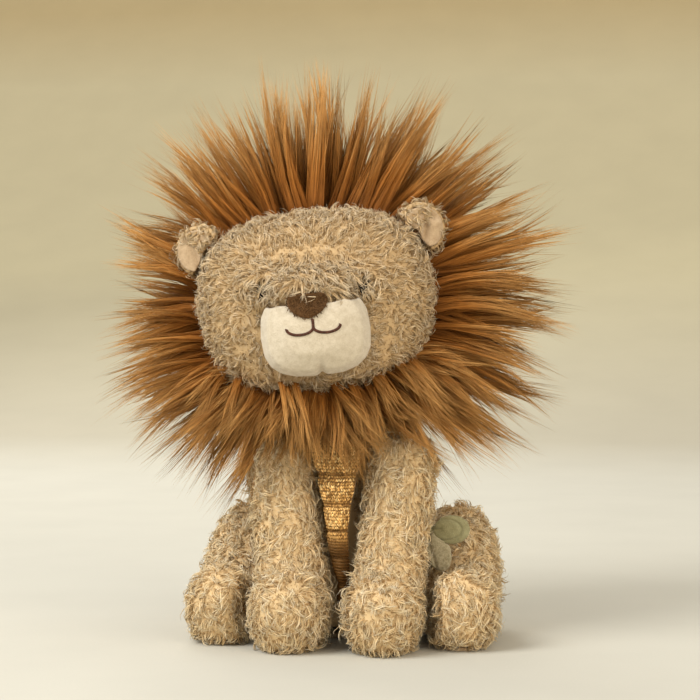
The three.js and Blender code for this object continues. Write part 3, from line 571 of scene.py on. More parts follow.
def strand_mesh(name, laid, tone, under, softness, material, streaks=False):
    """One mesh from laid strands, and how each point is shaded.

    `tone` is the shade of each point's strand and `under` the way that the cloth faces there."""
    numbers = {"along": laid["along"], "tone": tone}
    piece = mesh_piece(name, laid["points"], laid["faces"], numbers, material)
    if streaks:
        lane = piece.data.attributes.new("lane", "FLOAT_VECTOR", "POINT")
        lane.data.foreach_set("vector", laid["lane"].astype(np.float32).reshape(-1))
    under = unit(under)
    same_way = np.sum(under * laid["facing"], axis=1)
    soft = (softness * smooth_step(same_way, -0.9, 0.25))[:, None]
    return piece, unit(soft * under + (1 - soft) * laid["facing"])


def shade_piece(piece, shading):
    piece.data.normals_split_custom_set_from_vertices(shading)


# %% [markdown]
# ## Skins
# Under the pile lies the stuffed cloth itself. A skin is a copy of the CAD form, remeshed so
# that its facets and seams melt into one soft surface, and drawn in by the depth of the pile.
# The curls that stand on it then reach out to the CAD form again.


# %% Copy a CAD form as a soft skin
def soft_skin(name, node_name, voxel, sink, rounds, material):
    """A soft copy of a CAD form. `voxel` and `sink` are in millimetres."""
    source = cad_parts[node_name]
    skin = bpy.data.objects.new(name, source.data.copy())
    skin.data.name = name
    bpy.context.collection.objects.link(skin)
    pick(skin)
    bpy.ops.object.mode_set(mode="EDIT")
    bpy.ops.mesh.select_all(action="SELECT")
    bpy.ops.mesh.remove_doubles(threshold=0.01 * MM)
    bpy.ops.object.mode_set(mode="OBJECT")
    for step in ("first", "second"):
        melt = skin.modifiers.new(step, "REMESH")
        melt.mode = "VOXEL"
        melt.voxel_size = voxel * MM
        relax = skin.modifiers.new(step + " relax", "SMOOTH")
        relax.iterations = rounds
        if step == "first" and sink:
            sunk = skin.modifiers.new("sink", "DISPLACE")
            sunk.strength = -sink * MM
            sunk.mid_level = 0
    apply_modifiers(skin)
    skin.data.materials.clear()
    skin.data.materials.append(material)
    bpy.ops.object.shade_smooth()
    return skin


def points_of(piece):
    """The places of a piece's points, one row each."""
    points = np.zeros(len(piece.data.vertices) * 3)
    piece.data.vertices.foreach_get("co", points)
    return points.reshape(-1, 3)


def move_points(piece, points):
    piece.data.vertices.foreach_set("co", points.reshape(-1))
    piece.data.update()


def hand_over(piece, body, slot_name, *stands_for, fill=None):
    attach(piece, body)
    if stands_for:
        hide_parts(*stands_for)
    return piece


def soft_piece(name, node_name, body, slot_name, voxel, rounds, material, fill=0.7):
    """A soft good with no pile: a softened copy of its CAD form."""
    piece = soft_skin(name, node_name, voxel, 0, rounds, material)
    return hand_over(piece, body, slot_name, node_name, fill=fill)


# %% [markdown]
# ## Scattering roots
# Roots that are simply random bunch up and leave bald spots. Poisson scattering keeps a least
# distance between neighbours, as the tufts in knitted pile do. Blender's geometry nodes do this
# well, so one small tree scatters roots on any skin and stores which way the skin faces there.

# %% Build the scattering tree
scatter = new_group(
    "Scatter roots", {"Geometry": "Geometry", "Spacing": 0.001, "Seed": 0},
    {"Geometry": "Geometry"}, "GeometryNodeTree",
)
given = node(scatter, "NodeGroupInput").outputs
spread_points = node(
    scatter, "GeometryNodeDistributePointsOnFaces", distribute_method="POISSON"
)
fill_inputs(scatter, spread_points, {
    "Mesh": given["Geometry"], "Distance Min": given["Spacing"], "Density Max": 4e6,
    "Seed": given["Seed"],
})
keep_facing = node(
    scatter, "GeometryNodeStoreNamedAttribute",
    {
        "Geometry": spread_points.outputs["Points"], "Name": "facing",
        "Value": spread_points.outputs["Normal"],
    },
    data_type="FLOAT_VECTOR",
)
to_vertices = node(
    scatter, "GeometryNodePointsToVertices", {"Points": keep_facing.outputs["Geometry"]}
)
node(scatter, "NodeGroupOutput", {"Geometry": to_vertices.outputs["Mesh"]})
print("scattering takes", len(scatter.nodes), "nodes")


def scatter_roots(skin, spacing, seed, keep):
    """Places and facings of roots on a skin, in metres. `keep` says which of them stay."""
    field = bpy.data.objects.new("field", skin.data.copy())
    bpy.context.collection.objects.link(field)
    sow = field.modifiers.new("sow", "NODES")
    sow.node_group = scatter
    sockets = scatter.interface.items_tree
    sow[sockets["Spacing"].identifier] = spacing
    sow[sockets["Seed"].identifier] = seed
    apply_modifiers(field)
    places = points_of(field)
    facings = np.zeros(places.size)
    field.data.attributes["facing"].data.foreach_get("vector", facings)
    bpy.data.objects.remove(field)
    facings = unit(facings.reshape(-1, 3))
    kept = keep(places, facings)
    return places[kept], facings[kept]


# Blender's noise is seeded from the clock unless it gets a seed, and then no two runs agree.
WAFT_SEED = 3
noise.seed_set(WAFT_SEED)


def waft(places, size, seed):
    """A smooth random direction at each place, which changes over `size`."""
    shift = Vector((seed * 7.3, seed * 3.1, seed * 5.7))
    return np.array([noise.noise_vector(Vector(p) / size + shift) for p in places])


# %% [markdown]
# ## Curly pile
# On the real cloth each tuft is a loose curl 7 to 9 mm long, made of fine fibres that hold
# together. Neighbouring curls lean the same way for half a centimetre or so, and then another
# patch leans elsewhere. Two wafts do this: a wide one gives each patch its lean, and a narrow
# one keeps curls from being twins. Each tuft gets a stout crimped body and a few loose fibres,
# and short fuzz between the tufts hides the skin.


# %% Cover a skin in curls
FIBRES = 5
FUZZ_SPACING = 1.3 * MM
THICKER = 1
SOFTNESS = 0.25
FLOOR_GAP = 0.2 * MM


def everywhere(places, facings):
    return np.ones(len(places), bool)


def lay_fuzz(skin, spacing, seed, flow, length, keep):
    """Short single fibres that stand every way between the curls and hide the skin."""
    places, facings = scatter_roots(skin, spacing, seed, keep)
    dice = np.random.default_rng(seed)
    count = len(places)
    wild = dice.normal(size=(count, 3))
    laid = lay_strands(
        fuzz_blade, places, facings + 0.5 * flow(places, facings) + 0.45 * wild,
        dice.normal(size=(count, 3)), length(places) * dice.uniform(0.25, 0.65, count),
        dice.uniform(0.13, 0.26, count) * MM * THICKER, dice.uniform(0.5, 2.0, count),
    )
    tone = np.repeat(dice.uniform(0, 1, count), laid["size"])
    return laid, tone, np.repeat(facings, laid["size"], axis=0)


def grow_curls(
    skin, spacing, seed, flow, length, arc=(1.6, 3.0), width=0.18, lean=0.75, keep=everywhere,
    material=curly_pile, fibres=FIBRES, fuzz=FUZZ_SPACING, stout=0.42,
):
    """Curls on a skin. `flow` gives the lean of the pile at places, `length` its length there."""
    places, facings = scatter_roots(skin, spacing, seed, keep)
    dice = np.random.default_rng(seed)
    count = len(places)
    wild = dice.normal(size=(count, 3))
    way = 1.5 * flow(places, facings) + 1.2 * waft(places, 9 * MM, seed)
    way += 1.1 * waft(places, 4 * MM, seed + 50) + 0.2 * wild
    way -= facings * np.sum(way * facings, axis=1, keepdims=True)
    way = way / np.maximum(np.linalg.norm(way, axis=1, keepdims=True), 1)
    ahead = unit(facings + lean * way)
    curl = unit(way + 0.6 * waft(places, 2.4 * MM, seed + 90) + 0.3 * wild) - 0.15 * facings
    long = length(places) * dice.uniform(0.8, 1.2, count)
    turns = dice.uniform(arc[0], arc[1], count)
    shade = dice.uniform(0, 1, count)
    tuft = np.repeat(np.arange(count), fibres)
    total = len(tuft)
    offset = dice.normal(size=(total, 3)) * (0.22 * spacing)
    offset -= facings[tuft] * np.sum(offset * facings[tuft], axis=1, keepdims=True)
    fray = dice.normal(size=(total, 3)) * 0.45 * MM
    thick = width * MM * dice.uniform(0.6, 1.3, total) * THICKER
    parts = [lay_strands(
        hair_blade, places[tuft] + offset,
        ahead[tuft] + 0.13 * dice.normal(size=(total, 3)),
        curl[tuft] + 0.12 * dice.normal(size=(total, 3)),
        long[tuft] * dice.uniform(0.7, 1.12, total), thick,
        turns[tuft] * dice.uniform(0.85, 1.15, total), draw=fray - 0.75 * offset,
    )]
    tones = [np.clip(0.8 * shade[tuft] + 0.2 * dice.uniform(0, 1, total), 0, 1)]
    unders = [facings[tuft]]
    if stout:
        crimp = (
            0.45 * MM * dice.uniform(0.5, 1.3, count), dice.uniform(4.5, 8, count),
            dice.uniform(0, 6.3, count),
        )
        parts.append(lay_strands(
            tuft_blade, places, ahead, curl, long, stout * MM * dice.uniform(0.7, 1.25, count),
            turns, flat=0.7, fine=0.6, wave=crimp,
        ))
        tones.append(shade)
        unders.append(facings)
    tones = [np.repeat(t, p["size"]) for t, p in zip(tones, parts)]
    unders = [np.repeat(u, p["size"], axis=0) for u, p in zip(unders, parts)]
    if fuzz:
        for group, more in zip(
            (parts, tones, unders), lay_fuzz(skin, fuzz, seed + 200, flow, length, keep)
        ):
            group.append(more)
    laid = join_strands([strewn_lanes(part, dice, MM) for part in parts])
    laid["points"][:, 2] = np.maximum(laid["points"][:, 2], FLOOR_GAP)
    print(skin.name, "has", count, "curls and", len(laid["faces"]), "faces")
    return strand_mesh(
        skin.name + "_curls", laid, np.concatenate(tones), np.concatenate(unders), SOFTNESS,
        material, bool(stout),
    )


def dress(skin, strands, shading, node_name, body, slot_name, fill=0.8):
    """Joins the strands to their skin as one stuffed piece that stands for a CAD node."""
    count = len(skin.data.vertices)
    # The skin takes the colour a little way up from the dark root: painted shade between the
    # strands.
    give_numbers(skin.data, {"along": np.full(count, 0.3), "tone": np.full(count, 0.5)})
    own = np.zeros(count * 3)
    skin.data.vertex_normals.foreach_get("vector", own)
    pick(skin)
    strands.select_set(True)
    bpy.ops.object.join()
    shade_piece(skin, np.concatenate([own.reshape(-1, 3), shading]))
    hand_over(skin, body, slot_name, node_name, fill=fill)


def drooping(places, facings):
    return np.tile(np.array([0, 0, -0.55]), (len(places), 1))


def even(length):
    return lambda places: np.full(len(places), length * MM)


# %% [markdown]
# ## Torso and limbs
# The body and the four legs are bags of the same curly cloth, so they are dressed alike. The
# pile droops a little. Each foot's skin is drawn down again to the floor, where its curls are
# pressed flat, and the torso's pile stays off the deep gap between the front legs, because the
# knitted belly shows there. The soles and the seat are plain velour.

# %% Which roots stay and how long the pile is
SPACING = 2.6 * MM
PILE_DEPTH = 3.6


def off_the_seat(places, facings):
    return (places[:, 2] > 0.5 * MM) & (facings[:, 2] > -0.97)


def off_the_belly(places, facings):
    """The torso's pile leaves the deep gap between the front legs free."""
    gap = (np.abs(places[:, 0] + 2 * MM) < 13 * MM) & (places[:, 1] < -20 * MM)
    return off_the_seat(places, facings) & ~gap


def limb_length(places):
    """The pile is longer between the front legs, where nothing has worn it down."""
    inner = np.clip(1 - np.abs(places[:, 0] / MM + 2) / 13, 0, 1)
    return (7.5 + 4 * inner) * MM


def stand_on_floor(skin):
    """Draws the underside of a sunken skin down again, so that its pile meets the floor."""
    points = points_of(skin)
    lowest = points[:, 2].min()
    low = 1 - smooth_step(points[:, 2], lowest, lowest + 14 * MM)
    points[:, 2] -= (lowest - 1.2 * MM) * low
    move_points(skin, points)


# %% Dress the torso and the limbs
torso_skin = soft_skin("torso_fur", "torso", 2.2, PILE_DEPTH, 3, curly_pile)
torso_curls = grow_curls(
    torso_skin, SPACING * 1.4, 11, drooping, even(8), keep=off_the_belly, fuzz=1.9 * MM
)
dress(torso_skin, *torso_curls, "torso", "torso", "curly_pile")
for number, side in enumerate(("left", "right")):
    for kind, first_seed in (("front", 21), ("hind", 31)):
        limb = f"{kind}_leg_{side}"
        skin = soft_skin(limb + "_fur", limb, 2.0, PILE_DEPTH, 3, curly_pile)
        stand_on_floor(skin)
        curls = grow_curls(
            skin, SPACING, first_seed + number, drooping, limb_length, keep=off_the_seat
        )
        dress(skin, *curls, limb, limb, "curly_pile")
        sole = f"{kind}_sole_{side}"
        soft_piece(sole + "_pad", sole, limb, "tan_velour", 0.5, 2, tan_velour, 0.4)
soft_piece("seat_pad", "seat_panel", "torso", "tan_velour", 0.6, 2, tan_velour, 0.4)
soft_piece("pellet_pad", "pellet_bag", "torso", "calico", 1.2, 2, calico, 0.9)

# %% [markdown]
# ## Head
# The pile on the face is shorter than on the body and it is combed: outwards over the cheeks,
# up over the brow, and down the bridge until it hides the top of the nose. The head leans and
# turns a little, so the comb is worked out in the head's own frame, in millimetres.

# %% The head's own frame
head_place = (
    Matrix.Translation(Vector((-14.285, -15.696, 149.721)) * MM)
    @ Matrix.Rotation(math.radians(7.5), 4, "Z")
    @ Matrix.Rotation(math.radians(-6), 4, "Y")
)
head_turn = np.array(head_place.to_3x3())
head_middle = np.array(head_place.translation)


def in_head(places):
    return (places - head_middle) @ head_turn / MM


def out_of_head(places):
    return (np.asarray(places) * MM) @ head_turn.T + head_middle


def middle_in_head(node_name):
    """The middle of a CAD node's box in the head's frame."""
    low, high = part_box(node_name)
    return in_head(np.array([(low + high) / 2]))[0]


eye_places = np.array([middle_in_head("eye_left"), middle_in_head("eye_right")])
print("eyes in the head's frame:", eye_places.round(1).tolist())


# %% Face pile: how long it is and which way it is combed
def eye_distance(local):
    """How far each place is from the nearer eye, seen from the front, and the way to it."""
    ways = eye_places[:, None, :] - local[None, :, :]
    ways[..., 1] = 0
    far = np.linalg.norm(ways, axis=2)
    nearest = np.argmin(far, axis=0)
    rows = np.arange(len(local))
    return far[nearest, rows], unit(ways[nearest, rows])


def muzzle_distance(local):
    """About 1 on the muzzle's outline, more outside it."""
    across = np.abs(local[:, 0] / 23.25) ** 2.9
    up = np.abs((local[:, 2] + 14.3) / 18.25) ** 2.9
    return (across + up) ** (1 / 2.9)


def face_length(places):
    local = in_head(places)
    far, _ = eye_distance(local)
    length = 5.0 + 2.2 * np.clip(muzzle_distance(local) - 1.2, 0, 1)
    length = length + 2.0 * smooth_step(-local[:, 2], 22, 30)
    corner = (local[:, 0] < -6) & (local[:, 2] > -4) & (muzzle_distance(local) < 1.3)
    length = np.where(corner & (local[:, 1] < -28), 3.2, length)
    length = np.where((far < 10) & (local[:, 1] < -20), 7.8, length)
    return length * MM


def face_flow(places, facings):
    """Outwards, but over the muzzle's edge, down the bridge, round the eyes and back."""
    local = in_head(places)
    flow = np.stack([local[:, 0], np.zeros(len(local)), (local[:, 2] - 2) * 1.1], axis=1)
    flow = unit(flow) * 1.1
    edge = np.clip(1.6 - muzzle_distance(local), 0, 0.5)[:, None] * 2
    to_muzzle = unit(np.stack([-local[:, 0], np.zeros(len(local)), -14 - local[:, 2]], axis=1))
    over = 0.5 + 0.7 * (local[:, 2] > 0)
    over *= 1 - smooth_step(-local[:, 0], 4, 10) * (local[:, 2] > -4)
    flow = flow * (1 - edge) + edge * (np.array([0, -0.6, 0.0]) + over[:, None] * to_muzzle)
    bridge = (np.abs(local[:, 0] - 2) < 15) & (local[:, 1] < -30) & (np.abs(local[:, 2] - 5) < 16)
    fall = -0.8 + 0.5 * np.clip((-4 - local[:, 0]) / 8, 0, 1)
    down = np.stack([local[:, 0] / 20, np.full(len(local), -0.5), fall], axis=1)
    flow = np.where(bridge[:, None], down, flow)
    far, way = eye_distance(local)
    near = np.clip((10 - far) / 4, 0, 1)[:, None] * (local[:, 1] < -20)[:, None]
    flow = flow * (1 - near) + near * way * 1.3
    side = 1 - smooth_step(-(facings @ head_turn)[:, 1], 0.15, 0.65)[:, None]
    flow = flow * (1 - side) + side * np.array([0, -0.8, 0])
    return flow @ head_turn.T


def on_the_face(places, facings):
    """Roots in front of the mane that are neither on an eye nor far behind the muzzle's edge."""
    local = in_head(places)
    far, _ = eye_distance(local)
    return (local[:, 1] < 8) & (far > 2.2) & ((muzzle_distance(local) > 0.76) | (local[:, 1] > -28))


# %% Head, with the face raised round the eyes
def raise_sockets(skin, height, middle, width):
    """Swells the face round each eye, so that the eyes sink in, and lowers the chin."""
    local = in_head(points_of(skin))
    far, _ = eye_distance(local)
    ring = np.exp(-(((far - middle) / width) ** 2)) * (local[:, 1] < -15)
    local[:, 1] -= height * ring
    local[:, 2] -= 3.5 * smooth_step(-local[:, 2], 16, 28) * smooth_step(-local[:, 1], -6, 12)
    move_points(skin, out_of_head(local))


head_skin = soft_skin("head_fur", "head", 1.6, 2.8, 2, shaded_face_pile)
raise_sockets(head_skin, 3.9, 6.2, 3.0)
head_curls = grow_curls(
    head_skin, SPACING, 41, face_flow, face_length, (1.4, 2.8), 0.19, 0.8, on_the_face, shaded_face_pile
)


# %% Brow and bridge: longer tufts that fall over the eyes and the nose
def brow_and_bridge(places, facings):
    local = in_head(places)
    far, _ = eye_distance(local)
    lowest = 1.0 * np.maximum(-4 - local[:, 0], 0)
    bridge = (np.abs(local[:, 0]) < 19) & (local[:, 2] > lowest) & (local[:, 2] < 17)
    return (far > 2.2) & ((far < 8) | bridge) & (local[:, 1] < -26)


def brow_length(places):
    local = in_head(places)
    low = (np.abs(local[:, 0]) < 11) & (local[:, 2] < 9)
    return (np.where(low, 8.6, 7.6) - 3 * smooth_step(local[:, 2], 8, 14)) * MM


brow_curls, brow_shading = grow_curls(
    head_skin, 1.9 * MM, 43, face_flow, brow_length, (0.8, 2.2), 0.2, 0.8, brow_and_bridge,
    shaded_face_pile, fuzz=None,
)
dress(head_skin, *head_curls, "head", "head", "curly_pile")
shade_piece(brow_curls, brow_shading)
hand_over(brow_curls, "head", "curly_pile")

# %% [markdown]
# ## Ears
# An ear is a small bag of pile with a velour lining sewn into its hollow. The pile on its rim
# curls over the edge of the lining, and more curls from the brow side lie across it. The lining
# has a fold where the ear is pinched at its root, so it is drawn in there.


# %% Fold a lining
def fold(piece, along, depth, width):
    """Bends a thin pad into a fold below its middle: its two flanks rise and the line stays."""
    local = in_head(points_of(piece))
    middle = local.mean(axis=0)
    local -= middle
    out = np.linalg.svd(local, full_matrices=False)[2][2]
    out *= -np.sign(out[1])
    way = np.array([along[0], 0, along[1]])
    way = unit(way - out * np.dot(way, out))
    beside = local @ np.cross(way, out)
    raised = (1 - np.exp(-((beside / width) ** 2))) * (1 - smooth_step(local @ way, 1, 5))
    raised *= 1 - smooth_step(np.abs(beside), 4, 9)
    local += out * (depth * raised)[:, None]
    move_points(piece, out_of_head(local + middle))


# %% Ears and their linings
for number, (side, inward, fold_depth, away) in enumerate(
    (("left", -1, 2.2, 1.6), ("right", 1, 1.0, -2.4))
):
    ear, lining = f"ear_{side}", f"ear_lining_{side}"
    ear_middle, lining_middle = middle_in_head(ear), middle_in_head(lining)

    def outside(places, facings):
        local = in_head(places) - ear_middle
        rim = np.hypot(local[:, 0] - away, local[:, 2] + 2.2) > 5.6
        return ((facings @ head_turn)[:, 1] > -0.5) | rim

    def over_the_rim(places, facings):
        local = in_head(places) - ear_middle
        front = (facings @ head_turn)[:, 1] < -0.3
        local *= np.where(front, -0.35, 1)[:, None]
        local[:, 1] = -3
        return unit(local) @ head_turn.T

    def over_the_lining(places, facings):
        local = in_head(places) - lining_middle
        inner = 0.8 * inward * local[:, 0] + 0.6 * local[:, 2]
        return (inner > 0.6) & ((facings @ head_turn)[:, 1] < -0.2)

    def across_the_lining(places, facings):
        return np.tile(np.array([-0.5 * inward, -0.3, -0.4]) @ head_turn.T, (len(places), 1))

    skin = soft_skin(ear + "_fur", ear, 0.8, 0.9, 2, shaded_face_pile)
    curls = grow_curls(
        skin, SPACING * 0.7, 61 + number, over_the_rim, even(5.0), keep=outside,
        material=shaded_face_pile,
    )
    dress(skin, *curls, ear, "head", "curly_pile")
    pad = soft_piece(lining + "_pad", lining, "head", "tan_velour", 0.45, 2, tan_velour, 0.5)
    fold(pad, (-0.3 * inward, 0.95), fold_depth, 1.6)
    inner_curls, inner_shading = grow_curls(
        pad, SPACING * 0.66, 67 + number, across_the_lining, even(4.6), keep=over_the_lining,
        material=shaded_face_pile, fuzz=None,
    )
    shade_piece(inner_curls, inner_shading)
    hand_over(inner_curls, "head", "curly_pile")

# %% [markdown]
# ## Muzzle, nose and mouth
# The muzzle is short velour over a firm pad. A seam runs from the mouth down under the chin and
# draws the pad in there. The nose is a scrap of velvet with its own nap, and the mouth is sewn
# in satin stitch: short threads laid side by side across the line.

# %% Muzzle with its chin seam
CHIN_SEAM = 1.0
muzzle = soft_piece("muzzle_pad", "muzzle", "head", "cream_velour", 0.8, 4, cream_velour, 0.8)
muzzle_points = in_head(points_of(muzzle))
seam = np.exp(-(((muzzle_points[:, 0] - CHIN_SEAM) / 1.6) ** 2))
seam *= smooth_step(-muzzle_points[:, 2], 24, 31)
middle_of_pad = np.array([CHIN_SEAM, -36.0, -14.0])
muzzle_points += (middle_of_pad - muzzle_points) * (0.085 * seam)[:, None]
move_points(muzzle, out_of_head(muzzle_points))
print("points drawn in at the chin seam:", int((seam > 0.5).sum()))

# %% Nose with its nap
nose_skin = soft_skin("nose_nap", "nose", 0.5, 0.2, 2, nose_pile)
nose = in_head(points_of(nose_skin))
nose_middle = (nose.min(axis=0) + nose.max(axis=0)) / 2
nose = (nose - nose_middle) * (1.1, 1, 0.95) + nose_middle + (-1.6, 0.7, 0.3)
move_points(nose_skin, out_of_head(nose))
nose_nap = grow_curls(
    nose_skin, 0.8 * MM, 65, drooping, even(1.4), arc=(0.4, 1.2), width=0.15, lean=0.5,
    material=nose_pile, fibres=3, fuzz=None, stout=None,
)
dress(nose_skin, *nose_nap, "nose", "head", "nose_velvet", 0.7)

# %% [markdown]
# ## Stitches
# A stitch shows as a short fat thread that dips into the cloth at both ends. A bead drawn out
# long does for it, and a seam is many of them, each set square to the cloth under it.


# %% Small beads for stitches
bpy.ops.mesh.primitive_ico_sphere_add(subdivisions=1, radius=1)
bead_points, bead_faces = taken_mesh(bpy.context.active_object)
print("a bead has", len(bead_faces), "faces")


def lay_beads(name, middles, longs, wides, outs, sizes, along, tone, material):
    """Long thin beads, one for each visible thread of a stitch. `sizes` is in millimetres."""
    size = len(bead_points)
    points = middles[:, None, :] + sum(
        bead_points[None, :, i, None] * (unit(way) * (sizes[i] * MM))[:, None, :]
        for i, way in enumerate((longs, wides, outs))
    )
    faces = bead_faces[None] + (np.arange(len(middles)) * size)[:, None, None]
    numbers = {"along": np.repeat(along, size), "tone": np.repeat(tone, size)}
    return mesh_piece(name, points.reshape(-1, 3), faces.reshape(-1, 3), numbers, material)


# %% Mouth in satin stitch
FRONT = Vector((0, 1, 0))
STITCH_SLANT = 0.5
muzzle_tree = BVHTree.FromPolygons(
    [Vector(place) for place in muzzle_points], [p.vertices for p in muzzle.data.polygons]
)


def muzzle_front(x, z):
    hits = [muzzle_tree.ray_cast(Vector((a, -90, b)), FRONT)[0] for a, b in zip(x, z)]
    return np.array([hit.y for hit in hits])


def mouth_path():
    """A short stem, and an arc to each side of its foot."""
    stem = np.linspace(0, 1, 14)[:, None] * np.array([0, -3.2]) + np.array([0, -8.6])
    turn = np.linspace(0, 1, 52)
    right = np.stack([5.6 * (1 - np.cos(np.pi * turn)), -11.8 - 2.8 * np.sin(np.pi * turn)], axis=1)
    return [stem, right * np.array([-1, 1]), right]


def upright(x, z, y=0.0):
    return np.stack([x, y + 0 * x, z], axis=1)


middles, longs, wides = [], [], []
for run in mouth_path():
    way = np.gradient(run, axis=0)
    x, z = (way / np.linalg.norm(way, axis=1, keepdims=True)).T
    middles.append(upright(*run.T, muzzle_front(*run.T) - 0.15))
    longs.append(upright(x * STITCH_SLANT - z, z * STITCH_SLANT + x))
    wides.append(upright(x + z * STITCH_SLANT, z - x * STITCH_SLANT))
middles, longs, wides = (np.concatenate(part) for part in (middles, longs, wides))
outward = np.tile([0.0, -1.0, 0.0], (len(middles), 1))
dice = np.random.default_rng(5)
mouth = lay_beads(
    "mouth_thread", out_of_head(middles), longs @ head_turn.T, wides @ head_turn.T,
    outward @ head_turn.T, (0.78, 0.27, 0.45),
    dice.uniform(0, 1, len(middles)), dice.uniform(0, 1, len(middles)), thread,
)
hand_over(mouth, "head", "dark_thread", "mouth_stitch")
print("mouth stitches:", len(middles))

# %% [markdown]
# ## Belly
# The belly is a strip of gold knit, gathered by seams across it so that it stands in soft
# rolls. The strip is laid on the front of its CAD form, swelled between the seams, and covered
# in knit stitches: each is a V of two short threads.

# %% Measure the CAD strip, row by row
SEAMS = (14, 26, 38, 50, 61.5, 73.8, 92)
ROLL = 3.2
SMOOTHED_ROWS = 13
belly_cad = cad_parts["belly_panel"]
belly_tree = BVHTree.FromPolygons(
    [belly_cad.matrix_world @ v.co for v in belly_cad.data.vertices],
    [p.vertices for p in belly_cad.data.polygons],
)


def strip_row(level):
    """Middle, half width and front of the CAD strip at one height, in millimetres."""
    hits = []
    for x in np.arange(-20, 16, 0.5):
        place, *_ = belly_tree.ray_cast(Vector((x, -60, level)) * MM, FRONT)
        if place:
            hits.append((x, place.y / MM))
    across = [h[0] for h in hits]
    return (min(across) + max(across)) / 2, (max(across) - min(across)) / 2, min(h[1] for h in hits)


levels = np.linspace(17, 91, 75)
rows = np.array([strip_row(level) for level in levels])
kernel = np.ones(SMOOTHED_ROWS) / SMOOTHED_ROWS
padded_rows = np.pad(rows, ((SMOOTHED_ROWS // 2,) * 2, (0, 0)), mode="edge")
rows = np.stack([np.convolve(padded_rows[:, i], kernel, mode="valid") for i in range(3)], axis=1)
print("half width of the strip, bottom and top:", rows[[0, -1], 1].round(1), "mm")


def belly_at(u, level):
    """A place on the belly's front and how far it swells there. `u` runs from -1 to 1."""
    middle, half_width, front = (np.interp(level, levels, rows[:, i]) for i in range(3))
    nearest = np.min(np.abs(level[..., None] - np.array(SEAMS)), axis=-1)
    gap = np.interp(level, SEAMS, np.gradient(np.array(SEAMS, float)))
    swell = ROLL * np.sqrt(1 - (1 - np.clip(nearest / (gap / 2), 0, 1)) ** 2)
    sag = 3.0 * u**2
    x = middle + u * half_width * (1 + 0.05 * swell)
    tucked = 9 * smooth_step(-level, -52, -28)
    return np.stack([x, front + 0.8 + sag + tucked - swell * (1 - 0.4 * u**2), level], axis=-1)


# %% Lay the strip
bpy.ops.mesh.primitive_grid_add(x_subdivisions=24, y_subdivisions=110, size=2)
belly = named("belly_knit")
flat = points_of(belly)
move_points(belly, belly_at(flat[:, 0], 54 + 37 * flat[:, 1]) * MM)
depth = belly.modifiers.new("depth", "SOLIDIFY")
depth.thickness = 4 * MM
depth.offset = -1 if belly.data.polygons[0].normal.y < 0 else 1
apply_modifiers(belly)
bpy.ops.object.shade_smooth()
belly.data.materials.append(gold_knit)
print("the strip has", len(belly.data.polygons), "faces")

# %% Knit it
STITCH_WIDTH = 1.75
COURSE_HEIGHT = 1.35
columns = np.arange(-0.94, 0.96, 2 * STITCH_WIDTH / 27)
courses = np.arange(17.5, 91, COURSE_HEIGHT)
u, level = (grid.reshape(-1) for grid in np.meshgrid(columns, courses))
dice = np.random.default_rng(6)
u = u + dice.normal(0, 0.012, len(u))
level = level + dice.normal(0, 0.12, len(level))
place = belly_at(u, level)
ahead = unit(belly_at(u, level + 0.3) - place)
beside = unit(belly_at(u + 0.03, level) - place)
out = unit(np.cross(beside, ahead))
out = out * np.where(out[:, 1:2] > 0, -1, 1)
hands = (-1, 1)
middles = np.concatenate([place + hand * 0.36 * beside + 0.2 * out for hand in hands])
longs = np.concatenate([ahead + hand * 0.55 * beside for hand in hands])
wides = np.concatenate([beside - hand * 0.55 * ahead for hand in hands])
# Stitches near a seam and on the lower belly take the dark root colour and a lower tone: painted
# shade in the seams and in the gap between the front legs. Elsewhere each stitch sits at random
# between root and tip: random tone, with painted highlights on the brightest stitches.
from_seam = np.min(np.abs(middles[:, 2:] - np.array(SEAMS)), axis=1)
unshaded = smooth_step(middles[:, 2], 40, 54) * smooth_step(from_seam, -0.4, 1.6)
lit = dice.uniform(0, 1, len(middles)) * unshaded
stitches = lay_beads(
    "belly_stitches", middles * MM, longs, wides, np.concatenate([out, out]),
    (0.92, 0.36, 0.42), lit ** 1.3,
    dice.uniform(0, 1, len(middles)) * (0.25 + 0.75 * unshaded), knit_yarn,
)
print("belly stitches:", len(middles))
plain = np.zeros(len(belly.data.vertices))
give_numbers(belly.data, {"along": plain, "tone": plain})
pick(belly)
stitches.select_set(True)
bpy.ops.object.join()
hand_over(belly, "torso", "gold_knit", "belly_panel", fill=0.7)

# %% [markdown]
# ## Leaves
# Both leaves are little pillows. The upper one has a line of stitching inside its edge, which
# draws it in and leaves a rim. The lower one has a fold from its root.


# %% Leaves
def upper_carve(x, z):
    rim = np.hypot((x + 1.5) / 8.2, z / 5.4)
    pinch = np.exp(-((z / 0.9) ** 2)) * smooth_step(-x, 1.5, 6)
    return 0.75 * np.exp(-(((rim - 0.86) / 0.07) ** 2)) * (x > -4) + 0.7 * pinch


def lower_carve(x, z):
    return 0.6 * np.exp(-(((x + 0.3 * z + 3.2) / 0.9) ** 2))


for node_name, carve, material in (
    ("side_leaf_upper", upper_carve, sage_cotton), ("side_leaf_lower", lower_carve, sage_grain),
):
    leaf = soft_piece(node_name + "_pad", node_name, "torso", "sage_cotton", 0.4, 2, material, 0.8)
    low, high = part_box(node_name)
    centre = np.array((low + high) / 2)
    points = points_of(leaf)
    shift = (points - centre) / MM
    drawn = carve(shift[:, 0], shift[:, 2])
    points[:, 1] += drawn * MM * np.sign(centre[1] - points[:, 1])
    move_points(leaf, points)
    print(leaf.name, "is drawn in by up to", drawn.max().round(2), "mm")

# %% [markdown]
# ## Tail
# The tail has the body's curly pile, combed towards its end. Its tuft comes after the mane,
# because it is made as the mane is.


# %% Tail
def along_the_tail(places, facings):
    return np.tile(np.array([-0.9, 0.5, 0.0]), (len(places), 1))


